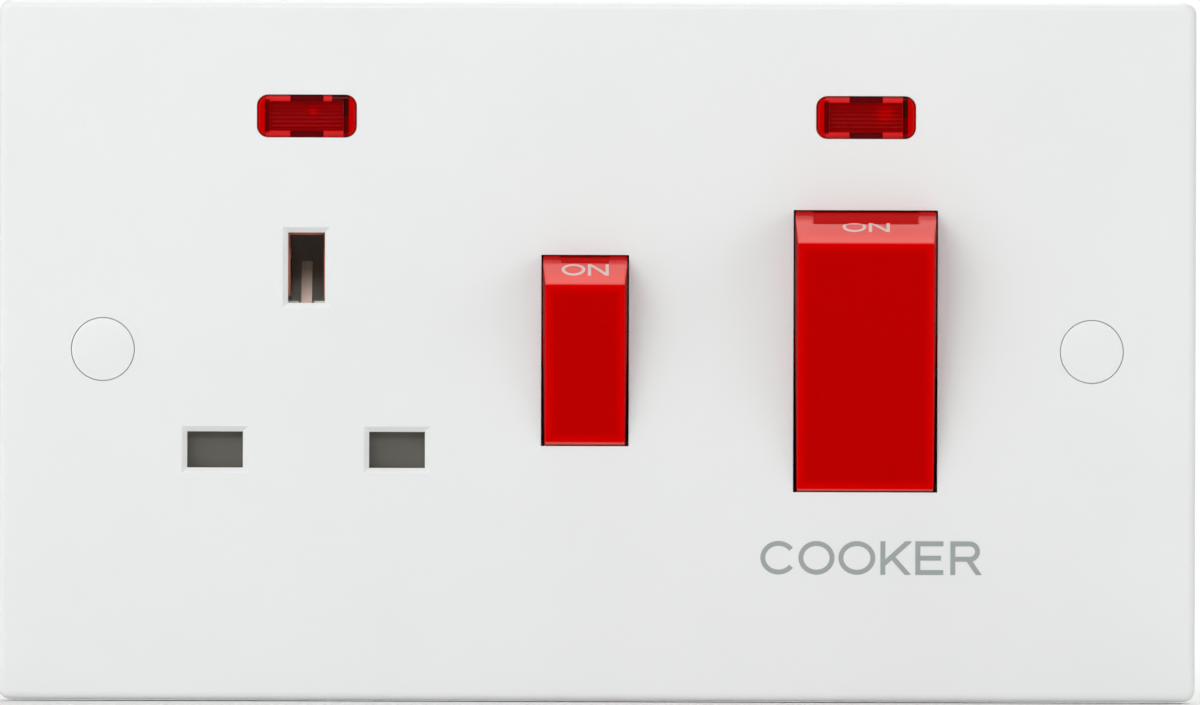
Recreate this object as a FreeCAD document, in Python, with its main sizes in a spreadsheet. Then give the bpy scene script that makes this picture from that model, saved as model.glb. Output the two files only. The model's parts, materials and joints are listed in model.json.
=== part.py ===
import FreeCAD, Part
import Sketcher
import math
import os
import re

# Driving sizes in millimetres and degrees: x runs right, y runs into the wall, z runs up.
# The origin is the centre of the plate's rear rim, so y is 0 at the wall.
SIZES = {
    # front plate
    "plate_width": 146.0,
    "plate_height": 85.4,
    "plate_depth": 10.0,
    "plate_wall": 3.0,
    "plate_rim": 2.5,
    "plate_corner": 1.5,
    "plate_round": 1.0,
    "fixing_spacing": 120.6,
    "fixing_hole": 4.0,
    "fixing_boss": 12.0,
    "fixing_web": 3.6,
    "boss_rib": 1.6,
    "boss_rib_set": 1.0,
    "cap_recess": 7.8,
    # caps over the fixing screws
    "cap_gap": 0.17,
    "cap_thickness": 1.2,
    "cap_depth": 3.5,
    "cap_skirt": 0.9,
    # socket outlet
    "socket_x": -35.5,
    "earth_z": 10.0,
    "pin_z": -12.2,
    "pin_spacing": 22.2,
    "earth_slot_width": 4.5,
    "earth_slot_height": 8.6,
    "pin_slot_width": 6.8,
    "pin_slot_height": 4.4,
    "slot_bevel": 0.65,
    "pin_thickness": 4.0,
    "earth_pin_height": 8.0,
    "clip_grip": 0.05,
    "clip_thickness": 0.8,
    "clip_width": 5.0,
    "clip_flare": 0.55,
    "clip_flare_length": 1.5,
    "clip_set": 3.5,
    "clip_room": 0.6,
    "earth_clip_set": 5.0,
    "earth_clip_length": 11.0,
    "earth_clip_height": 7.5,
    "earth_strip_width": 6.0,
    # rockers
    "cooker_x": 32.7,
    "cooker_rocker_width": 17.2,
    "cooker_rocker_radius": 17.55,
    "cooker_rocker_face": 8.32,
    "cooker_rocker_skirt": 4.0,
    "cooker_rocker_tilt": 12.9,
    "cooker_pivot_set": 4.37,
    "switch_x": -1.5,
    "socket_rocker_width": 10.3,
    "socket_rocker_radius": 12.09,
    "socket_rocker_face": 6.87,
    "socket_rocker_skirt": 3.8,
    "socket_rocker_tilt": 13.4,
    "socket_pivot_set": 3.87,
    "rocker_gap": 0.2,
    "rocker_face_wall": 2.0,
    "rocker_side_wall": 1.5,
    "rocker_edge": 0.4,
    "pivot_pin": 4.0,
    "pivot_pin_length": 2.0,
    "pivot_clearance": 0.06,
    "pivot_end_gap": 0.2,
    "cheek_thickness": 3.0,
    "cheek_height": 10.0,
    "cheek_depth": 4.8,
    "well_gap": 0.65,
    # plungers and see-saw contacts
    "plunger": 3.2,
    "plunger_clearance": 0.06,
    "plunger_tip": 1.2,
    "plunger_gap": 0.15,
    "plunger_start": 3.0,
    "plunger_spring_length": 7.0,
    "post": 6.0,
    "post_reach": 7.5,
    "post_spring_room": 0.05,
    "spring_wire": 0.45,
    "spring_turns": 4.0,
    "spring_steps": 6,
    "spring_gap": 0.1,
    "pole_spacing": 9.0,
    "contact_y": 7.6,
    "contact_length": 16.0,
    "contact_width": 5.0,
    "contact_thickness": 1.0,
    "contact_seat": 0.08,
    "contact_tilt": 10.0,
    "button": 3.4,
    "button_height": 0.75,
    "button_z": 6.4,
    "fulcrum_height": 1.8,
    "fulcrum_width": 2.4,
    "load_set": 3.0,
    # straps and links
    "strap_thickness": 1.0,
    "strap_width": 5.0,
    "supply_end": 2.0,
    "load_end": 4.4,
    "riser_width": 4.0,
    "run_height": 4.6,
    "link_z": -12.5,
    "link_height": 3.0,
    "neutral_set": 0.8,
    "neutral_run_z": -16.7,
    "neutral_run_height": 2.6,
    "neutral_tab": 1.0,
    "arm_height": 3.0,
    "arm_overlap": 1.5,
    "strip_gap": 0.3,
    # base moulding
    "flange_width": 108.0,
    "flange_height": 68.0,
    "flange_front": -1.0,
    "flange_thickness": 3.0,
    "flange_corner": 3.0,
    "block_left": -54.0,
    "block_right": 47.0,
    "block_height": 40.0,
    "base_wall": 1.8,
    "base_edge": 0.6,
    "core_rib": 1.6,
    "cooker_core": 10.8,
    "switch_core": 9.0,
    "lamp_block_left": -52.0,
    "lamp_block_right": -19.5,
    "pole_barrier": 1.6,
    "pole_barrier_front": 3.5,
    "base_screw_x": 57.0,
    "base_screw_z": 27.0,
    "base_screw_ear": 10.0,
    "base_screw": 2.9,
    "base_screw_head": 6.0,
    "base_screw_head_height": 2.2,
    "base_screw_length": 8.0,
    "base_screw_hole": 3.4,
    "base_screw_boss": 7.0,
    "thread_clearance": 0.05,
    "slot_width": 1.0,
    "slot_depth": 1.0,
    # shutter
    "shutter_gap": 0.2,
    "shutter_thickness": 1.4,
    "shutter_lap": 0.4,
    "shutter_side": 0.8,
    "shutter_stem": 6.0,
    "shutter_stem_drop": 0.7,
    "shutter_travel": 4.8,
    "ramp_width": 1.3,
    "ramp_bottom": 6.0,
    "ramp_land": 1.2,
    "ramp_foot": 2.0,
    "spring_tab": 2.8,
    "spring_tab_top": -2.6,
    "spring_tab_height": 1.4,
    "shutter_spring": 2.8,
    "shutter_spring_length": 10.0,
    # neon lenses and lamps
    "lens_z": 28.5,
    "lens_width": 12.2,
    "lens_height": 5.25,
    "lens_corner": 1.4,
    "lens_gap": 0.08,
    "lens_proud": 0.1,
    "lens_lip": 0.9,
    "lens_lip_thickness": 1.0,
    "lens_lip_gap": 0.1,
    "lens_rib_depth": 0.16,
    "lens_rib_width": 0.4,
    "lens_rib_span": 3.85,
    "lens_ribs": 8,
    "lamp": 3.8,
    "lamp_length": 8.0,
    "lamp_set": 3.4,
    "lamp_lead": 0.7,
    "lead_spread": 6.0,
    "lamp_room": 0.6,
    "lamp_wall": 1.8,
    "lamp_floor": 0.6,
    # terminals
    "terminal_spacing": 12.0,
    "terminal_width": 10.0,
    "terminal_length": 10.0,
    "terminal_depth": 11.0,
    "terminal_edge": 0.5,
    "terminal_gap": 0.2,
    "terminal_wall": 1.4,
    "cable_bore": 6.0,
    "cable_depth": 8.0,
    "cable_set": 4.5,
    "clamp_screw": 4.6,
    "clamp_proud": 1.2,
    "clamp_tip_gap": 0.2,
    "earth_bar_x": -5.0,
    "earth_bar_width": 22.0,
    "earth_bar_length": 9.0,
    "earth_bore": 4.5,
    "earth_bore_spacing": 11.0,
    "earth_tab_x": -9.6,
}

# Places and sizes that follow from the driving ones
DERIVED = {
    "plate_front": "-plate_depth",
    "plate_back": "plate_wall - plate_depth",
    "fixing_floor": "-fixing_web",
    "live_pin_x": "socket_x + pin_spacing/2",
    "neutral_pin_x": "socket_x - pin_spacing/2",
    "cooker_pivot": "cooker_pivot_set - plate_depth",
    "socket_pivot": "socket_pivot_set - plate_depth",
    "contact_front": "contact_seat + contact_thickness",
    "supply_front": "contact_y + fulcrum_height",
    "supply_rear": "supply_front + strap_thickness",
    "load_front": "contact_y + load_set",
    "load_rear": "load_front + strap_thickness",
    "link_rear": "supply_front",
    "link_front": "link_rear - strap_thickness",
    "socket_contact_y": "link_front - fulcrum_height",
    "live_front": "socket_contact_y + load_set",
    "live_rear": "live_front + strap_thickness",
    "neutral_front": "load_rear + neutral_set",
    "neutral_rear": "neutral_front + strap_thickness",
    "base_rear": "neutral_rear + base_wall",
    "core_floor": "base_rear - base_wall",
    "core_bottom": "neutral_top + strip_gap + base_wall",
    "core_top": "block_top - 2*base_wall",
    "cooker_reach": "contact_y - contact_front - plunger_gap - cooker_pivot",
    "socket_reach": "socket_contact_y - contact_front - plunger_gap - socket_pivot",
    "post_floor": "plunger_start - plunger_spring_length - 2*post_spring_room",
    "post_bore": "plunger + 2*plunger_clearance",
    "clip_inner": "pin_thickness/2 + clip_grip",
    "clip_outer": "clip_inner + clip_thickness",
    "clip_front": "plate_back + clip_set",
    "clip_well": "clip_outer + clip_flare + strip_gap",
    "pin_well": "pin_slot_width/2",
    "earth_clip_front": "plate_back + earth_clip_set",
    "earth_clip_top": "earth_z + earth_pin_height/2 + clip_grip",
    "flange_rear": "flange_front + flange_thickness",
    "screw_tip": "flange_rear - base_screw_length",
    "block_top": "block_height/2",
    "terminal_start": "block_top + terminal_gap",
    "terminal_end": "terminal_start + terminal_length",
    "terminal_rear": "flange_rear + terminal_depth",
    "cable_y": "flange_rear + cable_set",
    "clamp_tip": "cable_y + cable_bore/2 + clamp_tip_gap",
    "earth_clamp_tip": "cable_y + earth_bore/2 + clamp_tip_gap",
    "terminal_middle": "terminal_end - cable_depth/2",
    "earth_bar_end": "terminal_start + earth_bar_length",
    "earth_bar_middle": "earth_bar_end - cable_depth/2",
    "shutter_front": "plate_back + shutter_gap",
    "shutter_rear": "shutter_front + shutter_thickness",
    "shutter_floor": "shutter_rear + shutter_gap",
    "shutter_top": "pin_z + pin_slot_height/2 + shutter_lap",
    "shutter_bottom": "pin_z - pin_slot_height/2 - shutter_lap - slot_bevel",
    "shutter_reach": "pin_slot_width/2 + shutter_side",
    "stem_top": "earth_z - earth_slot_height/2 - shutter_stem_drop",
    "ramp_top": "ramp_bottom + shutter_travel",
    "ramp_rear": "shutter_front + shutter_travel",
    "tab_bottom": "spring_tab_top - spring_tab_height",
    "shutter_spring_y": "shutter_floor + shutter_spring/2 + spring_gap",
    "shutter_spring_end": "tab_bottom - shutter_spring_length - 2*post_spring_room",
    "lamp_y": "plate_back + lamp_set",
    "lamp_seat": "plate_back + lens_lip_thickness + lens_lip_gap",
    "lens_lip_x": "lens_width/2 + lens_lip",
    "lens_lip_z": "lens_height/2 + lens_lip",
    "lamp_well_x": "lamp_length/2 + lamp_room",
    "lamp_well_z": "lamp/2 + lamp_room",
    "lamp_well_floor": "lamp_y + lamp/2 + lamp_floor",
    "live_left": "live_pin_x - clip_width/2",
    "neutral_left": "neutral_pin_x - clip_width/2",
    "live_arm_end": "socket_x + lead_spread/2 - arm_overlap",
    "neutral_arm_end": "socket_x - lead_spread/2 + arm_overlap",
    "run_top": "load_end + run_height",
    "link_bottom": "link_z - link_height/2",
    "link_top": "link_z + link_height/2",
    "neutral_bottom": "neutral_run_z - neutral_run_height/2",
    "neutral_top": "neutral_run_z + neutral_run_height/2",
    "neutral_pole_x": "cooker_x + pole_spacing/2",
    "live_pole_x": "cooker_x - pole_spacing/2",
    "earth_strip_front": "flange_rear",
    "earth_strip_rear": "earth_strip_front + earth_strip_width",
    "earth_tab_right": "earth_tab_x + clip_thickness",
}

doc = FreeCAD.newDocument("cooker_control_unit")
sheet = doc.addObject("Spreadsheet::Sheet", "sizes")
for row, (alias, number) in enumerate(SIZES.items(), start=1):
    sheet.set("A%d" % row, alias)
    sheet.set("B%d" % row, str(number))
    sheet.setAlias("B%d" % row, alias)
doc.recompute()

parts = []


def formula(text):
    def swap(match):
        word = match.group(0)
        if word in SIZES:
            return "sizes." + word
        if word in DERIVED:
            return "(" + formula(DERIVED[word]) + ")"
        return word

    return re.sub(r"[a-z_]+", swap, text)


def new_body(label, x="0", y="0", z="0", tilt=None):
    body = doc.addObject("PartDesign::Body", label)
    body.Label = label
    body.AllowCompound = True
    if tilt:
        body.Placement = FreeCAD.Placement(FreeCAD.Vector(), FreeCAD.Rotation(FreeCAD.Vector(1, 0, 0), 1))
        body.setExpression("Placement.Rotation.Angle", formula(tilt))
    for axis, place in (("x", x), ("y", y), ("z", z)):
        body.setExpression("Placement.Base." + axis, formula(place))
    parts.append(body)
    return body


def new_sketch(body, name, role, offset):
    sketch = body.newObject("Sketcher::SketchObject", body.Label + "_" + name + "_sketch")
    plane = next(feature for feature in body.Origin.OriginFeatures if feature.Role == role)
    sketch.AttachmentSupport = (plane, [""])
    sketch.MapMode = "FlatFace"
    sketch.setExpression("AttachmentOffset.Base.z", formula(offset))
    return sketch


def constrain(sketch, expression, *constraint):
    index = sketch.addConstraint(Sketcher.Constraint(*constraint))
    sketch.setExpression("Constraints[%d]" % index, formula(expression))


def pin_point(sketch, geometry, point, across, along):
    constrain(sketch, across, "DistanceX", -1, 1, geometry, point, 1.0)
    constrain(sketch, along, "DistanceY", -1, 1, geometry, point, 1.0)


def draw_polygon(sketch, corners):
    first = sketch.GeometryCount
    turn = 2 * math.pi / len(corners)
    spots = [FreeCAD.Vector(math.cos(turn * i), math.sin(turn * i), 0) for i in range(len(corners))]
    for i in range(len(corners)):
        sketch.addGeometry(Part.LineSegment(spots[i - 1], spots[i]))
    for i, (across, along) in enumerate(corners):
        following = first + (i + 1) % len(corners)
        sketch.addConstraint(Sketcher.Constraint("Coincident", first + i, 2, following, 1))
        pin_point(sketch, first + i, 2, across, along)


def draw_circle(sketch, across, along, diameter):
    ring = sketch.addGeometry(Part.Circle(FreeCAD.Vector(), FreeCAD.Vector(0, 0, 1), 1.0))
    pin_point(sketch, ring, 3, across, along)
    constrain(sketch, diameter, "Diameter", ring, 2.0)


def draw(sketch, outlines):
    for outline in outlines:
        if isinstance(outline, tuple):
            draw_circle(sketch, *outline)
        else:
            draw_polygon(sketch, outline)


def box(left, right, bottom, top):
    return [(left, bottom), (right, bottom), (right, top), (left, top)]


def around(centre, middle, half_width, half_height):
    return box(
        "%s - (%s)" % (centre, half_width),
        "%s + (%s)" % (centre, half_width),
        "%s - (%s)" % (middle, half_height),
        "%s + (%s)" % (middle, half_height),
    )


def extrude(body, kind, name, role, offset, length, outlines):
    sketch = new_sketch(body, name, role, offset)
    draw(sketch, outlines)
    feature = body.newObject("PartDesign::" + kind, body.Label + "_" + name)
    feature.Profile = sketch
    feature.setExpression("Length", formula(length))
    return feature


# Pads and pockets between two depths: outlines hold x and z
def pad(body, name, outlines, front, rear):
    return extrude(body, "Pad", name, "XZ_Plane", "-(%s)" % rear, "%s - (%s)" % (rear, front), outlines)


def pocket(body, name, outlines, front, rear):
    return extrude(body, "Pocket", name, "XZ_Plane", "-(%s)" % front, "%s - (%s)" % (rear, front), outlines)


# Pads and pockets from left to right: outlines hold y and z
def pad_across(body, name, outlines, left, right):
    return extrude(body, "Pad", name, "YZ_Plane", left, "%s - (%s)" % (right, left), outlines)


def pocket_across(body, name, outlines, left, right):
    return extrude(body, "Pocket", name, "YZ_Plane", right, "%s - (%s)" % (right, left), outlines)


# Pocket from one height down to another: outlines hold x and y
def pocket_down(body, name, outlines, bottom, top):
    return extrude(body, "Pocket", name, "XY_Plane", top, "%s - (%s)" % (top, bottom), outlines)


# Turned shape about a line along y: corners hold the radius and y
def turn(body, name, corners, x="0", z="0"):
    sketch = new_sketch(body, name, "XY_Plane", z)
    draw_polygon(sketch, [("%s + (%s)" % (x, radius), along) for radius, along in corners])
    axis = sketch.addGeometry(Part.LineSegment(FreeCAD.Vector(0, 0, 0), FreeCAD.Vector(0, 1, 0)), True)
    sketch.addConstraint(Sketcher.Constraint("Vertical", axis))
    pin_point(sketch, axis, 1, x, "0")
    constrain(sketch, "1", "DistanceY", axis, 1, axis, 2, 1.0)
    feature = body.newObject("PartDesign::Revolution", body.Label + "_" + name)
    feature.Profile = sketch
    feature.ReferenceAxis = (sketch, ["Axis0"])
    feature.Angle = 360
    return feature


def soften(body, kind, name, size, wanted):
    doc.recompute()
    base = body.Tip
    edges = ["Edge%d" % i for i, edge in enumerate(base.Shape.Edges, start=1) if wanted(edge.BoundBox)]
    feature = body.newObject("PartDesign::" + kind, body.Label + "_" + name)
    feature.Base = (base, edges)
    feature.setExpression("Radius" if kind == "Fillet" else "Size", formula(size))
    return feature


def size_of(text):
    return float(sheet.evalExpression(formula(text)))


def close(first, second):
    return abs(first - second) < 1e-4


def along_depth(edge):
    return edge.YLength > 1e-3 and edge.XLength < 1e-3 and edge.ZLength < 1e-3


def flat_at(edge, depth):
    return close(edge.YMin, depth) and close(edge.YMax, depth)


def make_front_plate():
    body = new_body("front_plate")
    front = size_of("plate_front")
    back = size_of("plate_back")
    slab = around("0", "0", "plate_width/2", "plate_height/2")
    pad(body, "slab", [slab], "plate_front", "0")
    soften(body, "Fillet", "corners", "plate_corner", along_depth)
    soften(body, "Fillet", "front_edge", "plate_round", lambda edge: flat_at(edge, front))
    hollow = around("0", "0", "plate_width/2 - plate_rim", "plate_height/2 - plate_rim")
    pocket(body, "hollow", [hollow], "plate_back", "0")

    ends = ["-fixing_spacing/2", "fixing_spacing/2"]
    pad(body, "fixing_bosses", [(x, "0", "fixing_boss") for x in ends], "plate_back", "0")
    inside, half = "fixing_boss/2 - boss_rib", "boss_rib/2"
    ribs = []
    for side in ("", "-"):
        x = side + "fixing_spacing/2"
        near, far = (side + "(%s)" % reach for reach in (inside, "plate_height/2 - plate_rim"))
        ribs.append(box(x + " - " + half, x + " + " + half, near, far))
        near, far = side + "(fixing_spacing/2 + %s)" % inside, side + "(plate_width/2 - plate_rim)"
        ribs.append(box(near, far, "-" + half, half))
    pad(body, "boss_ribs", ribs, "plate_back", "-boss_rib_set")
    pocket(body, "cap_recesses", [(x, "0", "cap_recess") for x in ends], "plate_front", "fixing_floor")
    pocket(body, "fixing_holes", [(x, "0", "fixing_hole") for x in ends], "fixing_floor", "0")
    bosses = [around(x, z, "base_screw_boss/2", "base_screw_boss/2") for x, z in base_screw_places()]
    pad(body, "screw_bosses", bosses, "plate_back", "flange_front")
    pilots = [(x, z, "base_screw + 2*thread_clearance") for x, z in base_screw_places()]
    pocket(body, "screw_pilots", pilots, "screw_tip - thread_clearance", "flange_front")

    windows = [around(x, "lens_z", "lens_width/2", "lens_height/2") for x in ("socket_x", "cooker_x")]
    pocket(body, "lens_windows", windows, "plate_front", "plate_back")
    low = size_of("lens_z - lens_height")

    def window_corner(edge):
        return along_depth(edge) and edge.ZMin > low and close(edge.YMin, front) and close(edge.YMax, back)

    soften(body, "Fillet", "window_corners", "lens_corner", window_corner)
    slots = [
        around("socket_x", "earth_z", "earth_slot_width/2", "earth_slot_height/2"),
        around("live_pin_x", "pin_z", "pin_slot_width/2", "pin_slot_height/2"),
        around("neutral_pin_x", "pin_z", "pin_slot_width/2", "pin_slot_height/2"),
    ]
    pocket(body, "pin_slots", slots, "plate_front", "plate_back")
    left = size_of("neutral_pin_x - pin_slot_width")
    right = size_of("live_pin_x + pin_slot_width")
    top = size_of("earth_z + earth_slot_height")

    def slot_edge(edge):
        inside = left < edge.XMin and edge.XMax < right and -top < edge.ZMin and edge.ZMax < top
        return inside and flat_at(edge, front)

    soften(body, "Chamfer", "slot_bevels", "slot_bevel", slot_edge)
    for name, x in (("cooker", "cooker_x"), ("socket", "switch_x")):
        half = "%s_rocker_width/2 + rocker_gap" % name
        sweep = ("%s_pivot" % name, "0", "2*(%s_rocker_radius + rocker_gap)" % name)
        pocket_across(body, name + "_aperture", [sweep], x + " - (" + half + ")", x + " + (" + half + ")")
        cheeks = []
        for side in ("-", "+"):
            middle = "%s %s (%s + cheek_thickness/2)" % (x, side, half)
            cheeks.append(around(middle, "0", "cheek_thickness/2", "cheek_height/2"))
        pad(body, name + "_cheeks", cheeks, "plate_back", "plate_back + cheek_depth")
        reach = half + " + pivot_pin_length + pivot_end_gap - rocker_gap"
        bore = ("%s_pivot" % name, "0", "pivot_pin + 2*pivot_clearance")
        pocket_across(body, name + "_pivots", [bore], x + " - (" + reach + ")", x + " + (" + reach + ")")


def base_screw_places():
    return [("-base_screw_x", "base_screw_z"), ("base_screw_x", "-base_screw_z")]


def make_base():
    body = new_body("base_moulding")
    flange = around("0", "0", "flange_width/2", "flange_height/2")
    pad(body, "flange", [flange], "flange_front", "flange_rear")
    soften(body, "Fillet", "flange_corners", "flange_corner", along_depth)
    ears = [around(x, z, "base_screw_ear/2", "base_screw_ear/2") for x, z in base_screw_places()]
    pad(body, "ears", ears, "flange_front", "flange_rear")
    block = box("block_left", "block_right", "-block_top", "block_top")
    pad(body, "block", [block], "plate_back", "base_rear")
    lamp_block = box("lamp_block_left", "lamp_block_right", "block_top - base_wall", "flange_height/2")
    pad(body, "lamp_block", [lamp_block], "plate_back", "base_rear")
    rear = size_of("base_rear")
    soften(body, "Chamfer", "rear_edges", "base_edge", lambda edge: flat_at(edge, rear))
    cradle = around("cooker_x", "lens_z", "lamp_well_x + lamp_wall", "lamp_well_z + lamp_wall")
    pad(body, "lamp_cradle", [cradle], "lamp_seat", "flange_front")

    walls = []
    inside = "block_top - base_wall"
    for bottom, top in ((inside, "terminal_end"), ("-terminal_end", "-(%s)" % inside)):
        side = "terminal_spacing/2 + terminal_width/2 + terminal_gap"
        inner = "terminal_spacing/2 - terminal_width/2 - terminal_gap"
        walls.append(box("cooker_x - (%s)" % inner, "cooker_x + " + inner, bottom, top))
        walls.append(box("cooker_x + " + side, "cooker_x + %s + terminal_wall" % side, bottom, top))
        walls.append(box("cooker_x - (%s) - terminal_wall" % side, "cooker_x - (%s)" % side, bottom, top))
    for side in ("-", "+"):
        middle = "earth_bar_x %s (earth_bar_width/2 + terminal_gap + terminal_wall/2)" % side
        edges = (middle + " - terminal_wall/2", middle + " + terminal_wall/2")
        walls.append(box(*edges, inside, "earth_bar_end"))
    pad(body, "terminal_walls", walls, "flange_rear", "terminal_rear")

    cooker_half = "cooker_rocker_width/2 + rocker_gap + cheek_thickness + strip_gap"
    cooker_reach = "cooker_rocker_radius + well_gap"
    switch_half = "socket_rocker_width/2 + rocker_gap + cheek_thickness + strip_gap"
    switch_reach = "socket_rocker_radius + well_gap"
    cooker_sides = ("cooker_x - (%s)" % cooker_half, "cooker_x + " + cooker_half)
    switch_sides = ("switch_x - (%s)" % switch_half, "switch_x + " + switch_half)
    clip_place = ("pin_z", "pin_well", "clip_well")
    lamp_place = ("lens_z", "lamp_well_x", "lamp_well_z")
    cuts = [
        ("cooker_well", around("cooker_x", "0", cooker_half, cooker_reach), "plate_back", "supply_rear"),
        (
            "cooker_load_well",
            box(*cooker_sides, "load_end - strip_gap", cooker_reach),
            "plate_back", "load_rear",
        ),
        ("switch_well", around("switch_x", "0", switch_half, switch_reach), "plate_back", "link_rear"),
        (
            "switch_load_well",
            box(*switch_sides, "load_end - strip_gap", switch_reach),
            "plate_back", "live_rear",
        ),
        (
            "link_channel",
            box("switch_x - strap_width/2 - strip_gap", "cooker_x", "link_bottom - strip_gap",
                "link_top + strip_gap"),
            "plate_back", "link_rear",
        ),
        (
            "live_run_channel",
            box("live_left", "switch_x", "load_end - strip_gap", "run_top + strip_gap"),
            "plate_back", "live_rear",
        ),
        (
            "live_riser_channel",
            box("live_left - strip_gap", "live_left + clip_width + strip_gap", "pin_z",
                "lens_z + arm_height/2 + strip_gap"),
            "plate_back", "live_rear",
        ),
        (
            "live_arm_channel",
            box("live_arm_end - strip_gap", "live_left + strip_gap", "lens_z - arm_height/2 - strip_gap",
                "lens_z + arm_height/2 + strip_gap"),
            "plate_back", "live_rear",
        ),
        ("live_clip_well", around("live_pin_x", *clip_place), "plate_back", "live_rear"),
        ("neutral_clip_well", around("neutral_pin_x", *clip_place), "plate_back", "neutral_rear"),
        (
            "neutral_riser_channel",
            box("neutral_left - strip_gap", "neutral_left + riser_width + strip_gap",
                "neutral_bottom - strip_gap", "lens_z + arm_height/2 + strip_gap"),
            "plate_back", "neutral_rear",
        ),
        (
            "neutral_arm_channel",
            box("neutral_left", "neutral_arm_end + strip_gap", "lens_z - arm_height/2 - strip_gap",
                "lens_z + arm_height/2 + strip_gap"),
            "plate_back", "neutral_rear",
        ),
        (
            "neutral_run_channel",
            box("neutral_left - strip_gap", "neutral_pole_x + strap_width/2 + strip_gap",
                "neutral_bottom - strip_gap", "neutral_top + strip_gap"),
            "plate_back", "neutral_rear",
        ),
        (
            "earth_well",
            box("socket_x - clip_outer - strip_gap", "socket_x + clip_outer + strip_gap",
                "earth_clip_top - earth_clip_height - clip_room",
                "earth_clip_top + clip_thickness + strip_gap"),
            "plate_back", "neutral_rear",
        ),
        (
            "earth_channel",
            box("socket_x", "earth_tab_right + strip_gap", "earth_clip_top - strip_gap",
                "earth_clip_top + clip_thickness + strip_gap"),
            "plate_back", "earth_strip_rear + strip_gap",
        ),
        (
            "earth_tab_slot",
            box("earth_tab_x - strip_gap", "earth_tab_right + strip_gap", "earth_clip_top", "block_top"),
            "plate_back", "earth_strip_rear + strip_gap",
        ),
        (
            "shutter_recess",
            box("neutral_pin_x - shutter_reach - strip_gap", "live_pin_x + shutter_reach + strip_gap",
                "shutter_bottom - shutter_travel - strip_gap", "shutter_top + strip_gap"),
            "plate_back", "shutter_floor",
        ),
        (
            "stem_recess",
            box("socket_x - shutter_stem/2 - strip_gap", "socket_x + shutter_stem/2 + strip_gap",
                "shutter_top", "stem_top + strip_gap"),
            "plate_back", "shutter_floor",
        ),
        (
            "ramp_slot",
            box("socket_x - ramp_width/2 - strip_gap", "socket_x + ramp_width/2 + strip_gap",
                "ramp_foot - shutter_travel - strip_gap", "ramp_top + strip_gap"),
            "plate_back", "ramp_rear + ramp_land + strip_gap",
        ),
        (
            "spring_well",
            box("socket_x - spring_tab/2 - strip_gap", "socket_x + spring_tab/2 + strip_gap",
                "shutter_spring_end", "spring_tab_top + strip_gap"),
            "plate_back", "shutter_floor + shutter_spring + 2*spring_gap",
        ),
        (
            "lens_seat",
            around("socket_x", "lens_z", "lens_lip_x + lens_lip_gap", "lens_lip_z + lens_lip_gap"),
            "plate_back", "lamp_seat",
        ),
        ("socket_lamp_well", around("socket_x", *lamp_place), "plate_back", "lamp_well_floor"),
        ("cooker_lamp_well", around("cooker_x", *lamp_place), "lamp_seat", "lamp_well_floor"),
    ]
    for name, outline, front, rear in cuts:
        pocket(body, name, [outline], front, rear)
    barrier = around("cooker_x", "0", "pole_barrier/2", cooker_reach)
    pad(body, "pole_barrier", [barrier], "pole_barrier_front", "load_rear")

    for name, sign, front, rear in (
        ("load_strap_slots", "", "load_front", "load_rear"),
        ("supply_strap_slots", "-", "supply_front", "supply_rear"),
    ):
        slots = []
        for pole in ("live_pole_x", "neutral_pole_x"):
            middle = sign + "(block_top - base_wall/2)"
            slots.append(around(pole, middle, "strap_width/2 + strip_gap", "base_wall/2"))
        pocket(body, name, slots, front + " - terminal_gap", rear + " + terminal_gap")
    hole = "lamp_lead/2 + strip_gap"
    leads = [around("cooker_x %s lead_spread/2" % side, "lens_z", hole, hole) for side in ("-", "+")]
    pocket(body, "lead_holes", leads, "lamp_well_floor", "flange_rear")
    holes = [(x, z, "base_screw_hole") for x, z in base_screw_places()]
    pocket(body, "screw_holes", holes, "flange_front", "flange_rear")

    # shallow fields with ribs between them keep the thick rear wall from sinking
    earth_right = "socket_x + clip_outer + strip_gap + base_wall"
    earth_foot = "earth_clip_top - earth_clip_height - clip_room - base_wall"
    columns = [
        ("cooker_x + core_rib/2", "cooker_x + cooker_core", "core_top"),
        ("cooker_x - cooker_core", "cooker_x - core_rib/2", "core_top"),
        ("switch_x + switch_core + core_rib", "cooker_x - cooker_core - core_rib", "core_top"),
        ("switch_x - switch_core", "switch_x + switch_core", "core_top"),
        (earth_right, "switch_x - switch_core - core_rib", "core_top"),
        ("neutral_pin_x + pin_well + base_wall", earth_right + " - core_rib", earth_foot),
    ]
    fields = [box(left, right, "core_bottom", top) for left, right, top in columns]
    pocket(body, "rear_fields", fields, "core_floor", "base_rear")


def make_cap(label, x):
    body = new_body(label, x=x)
    edge = "(cap_recess/2 - cap_gap)"
    inside = edge + " - cap_skirt"
    rear = "plate_front + cap_depth"
    under = "plate_front + cap_thickness"
    turn(body, "cap", [
        ("0", "plate_front"), (edge, "plate_front"), (edge, rear),
        (inside, rear), (inside, under), ("0", under),
    ])


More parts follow.
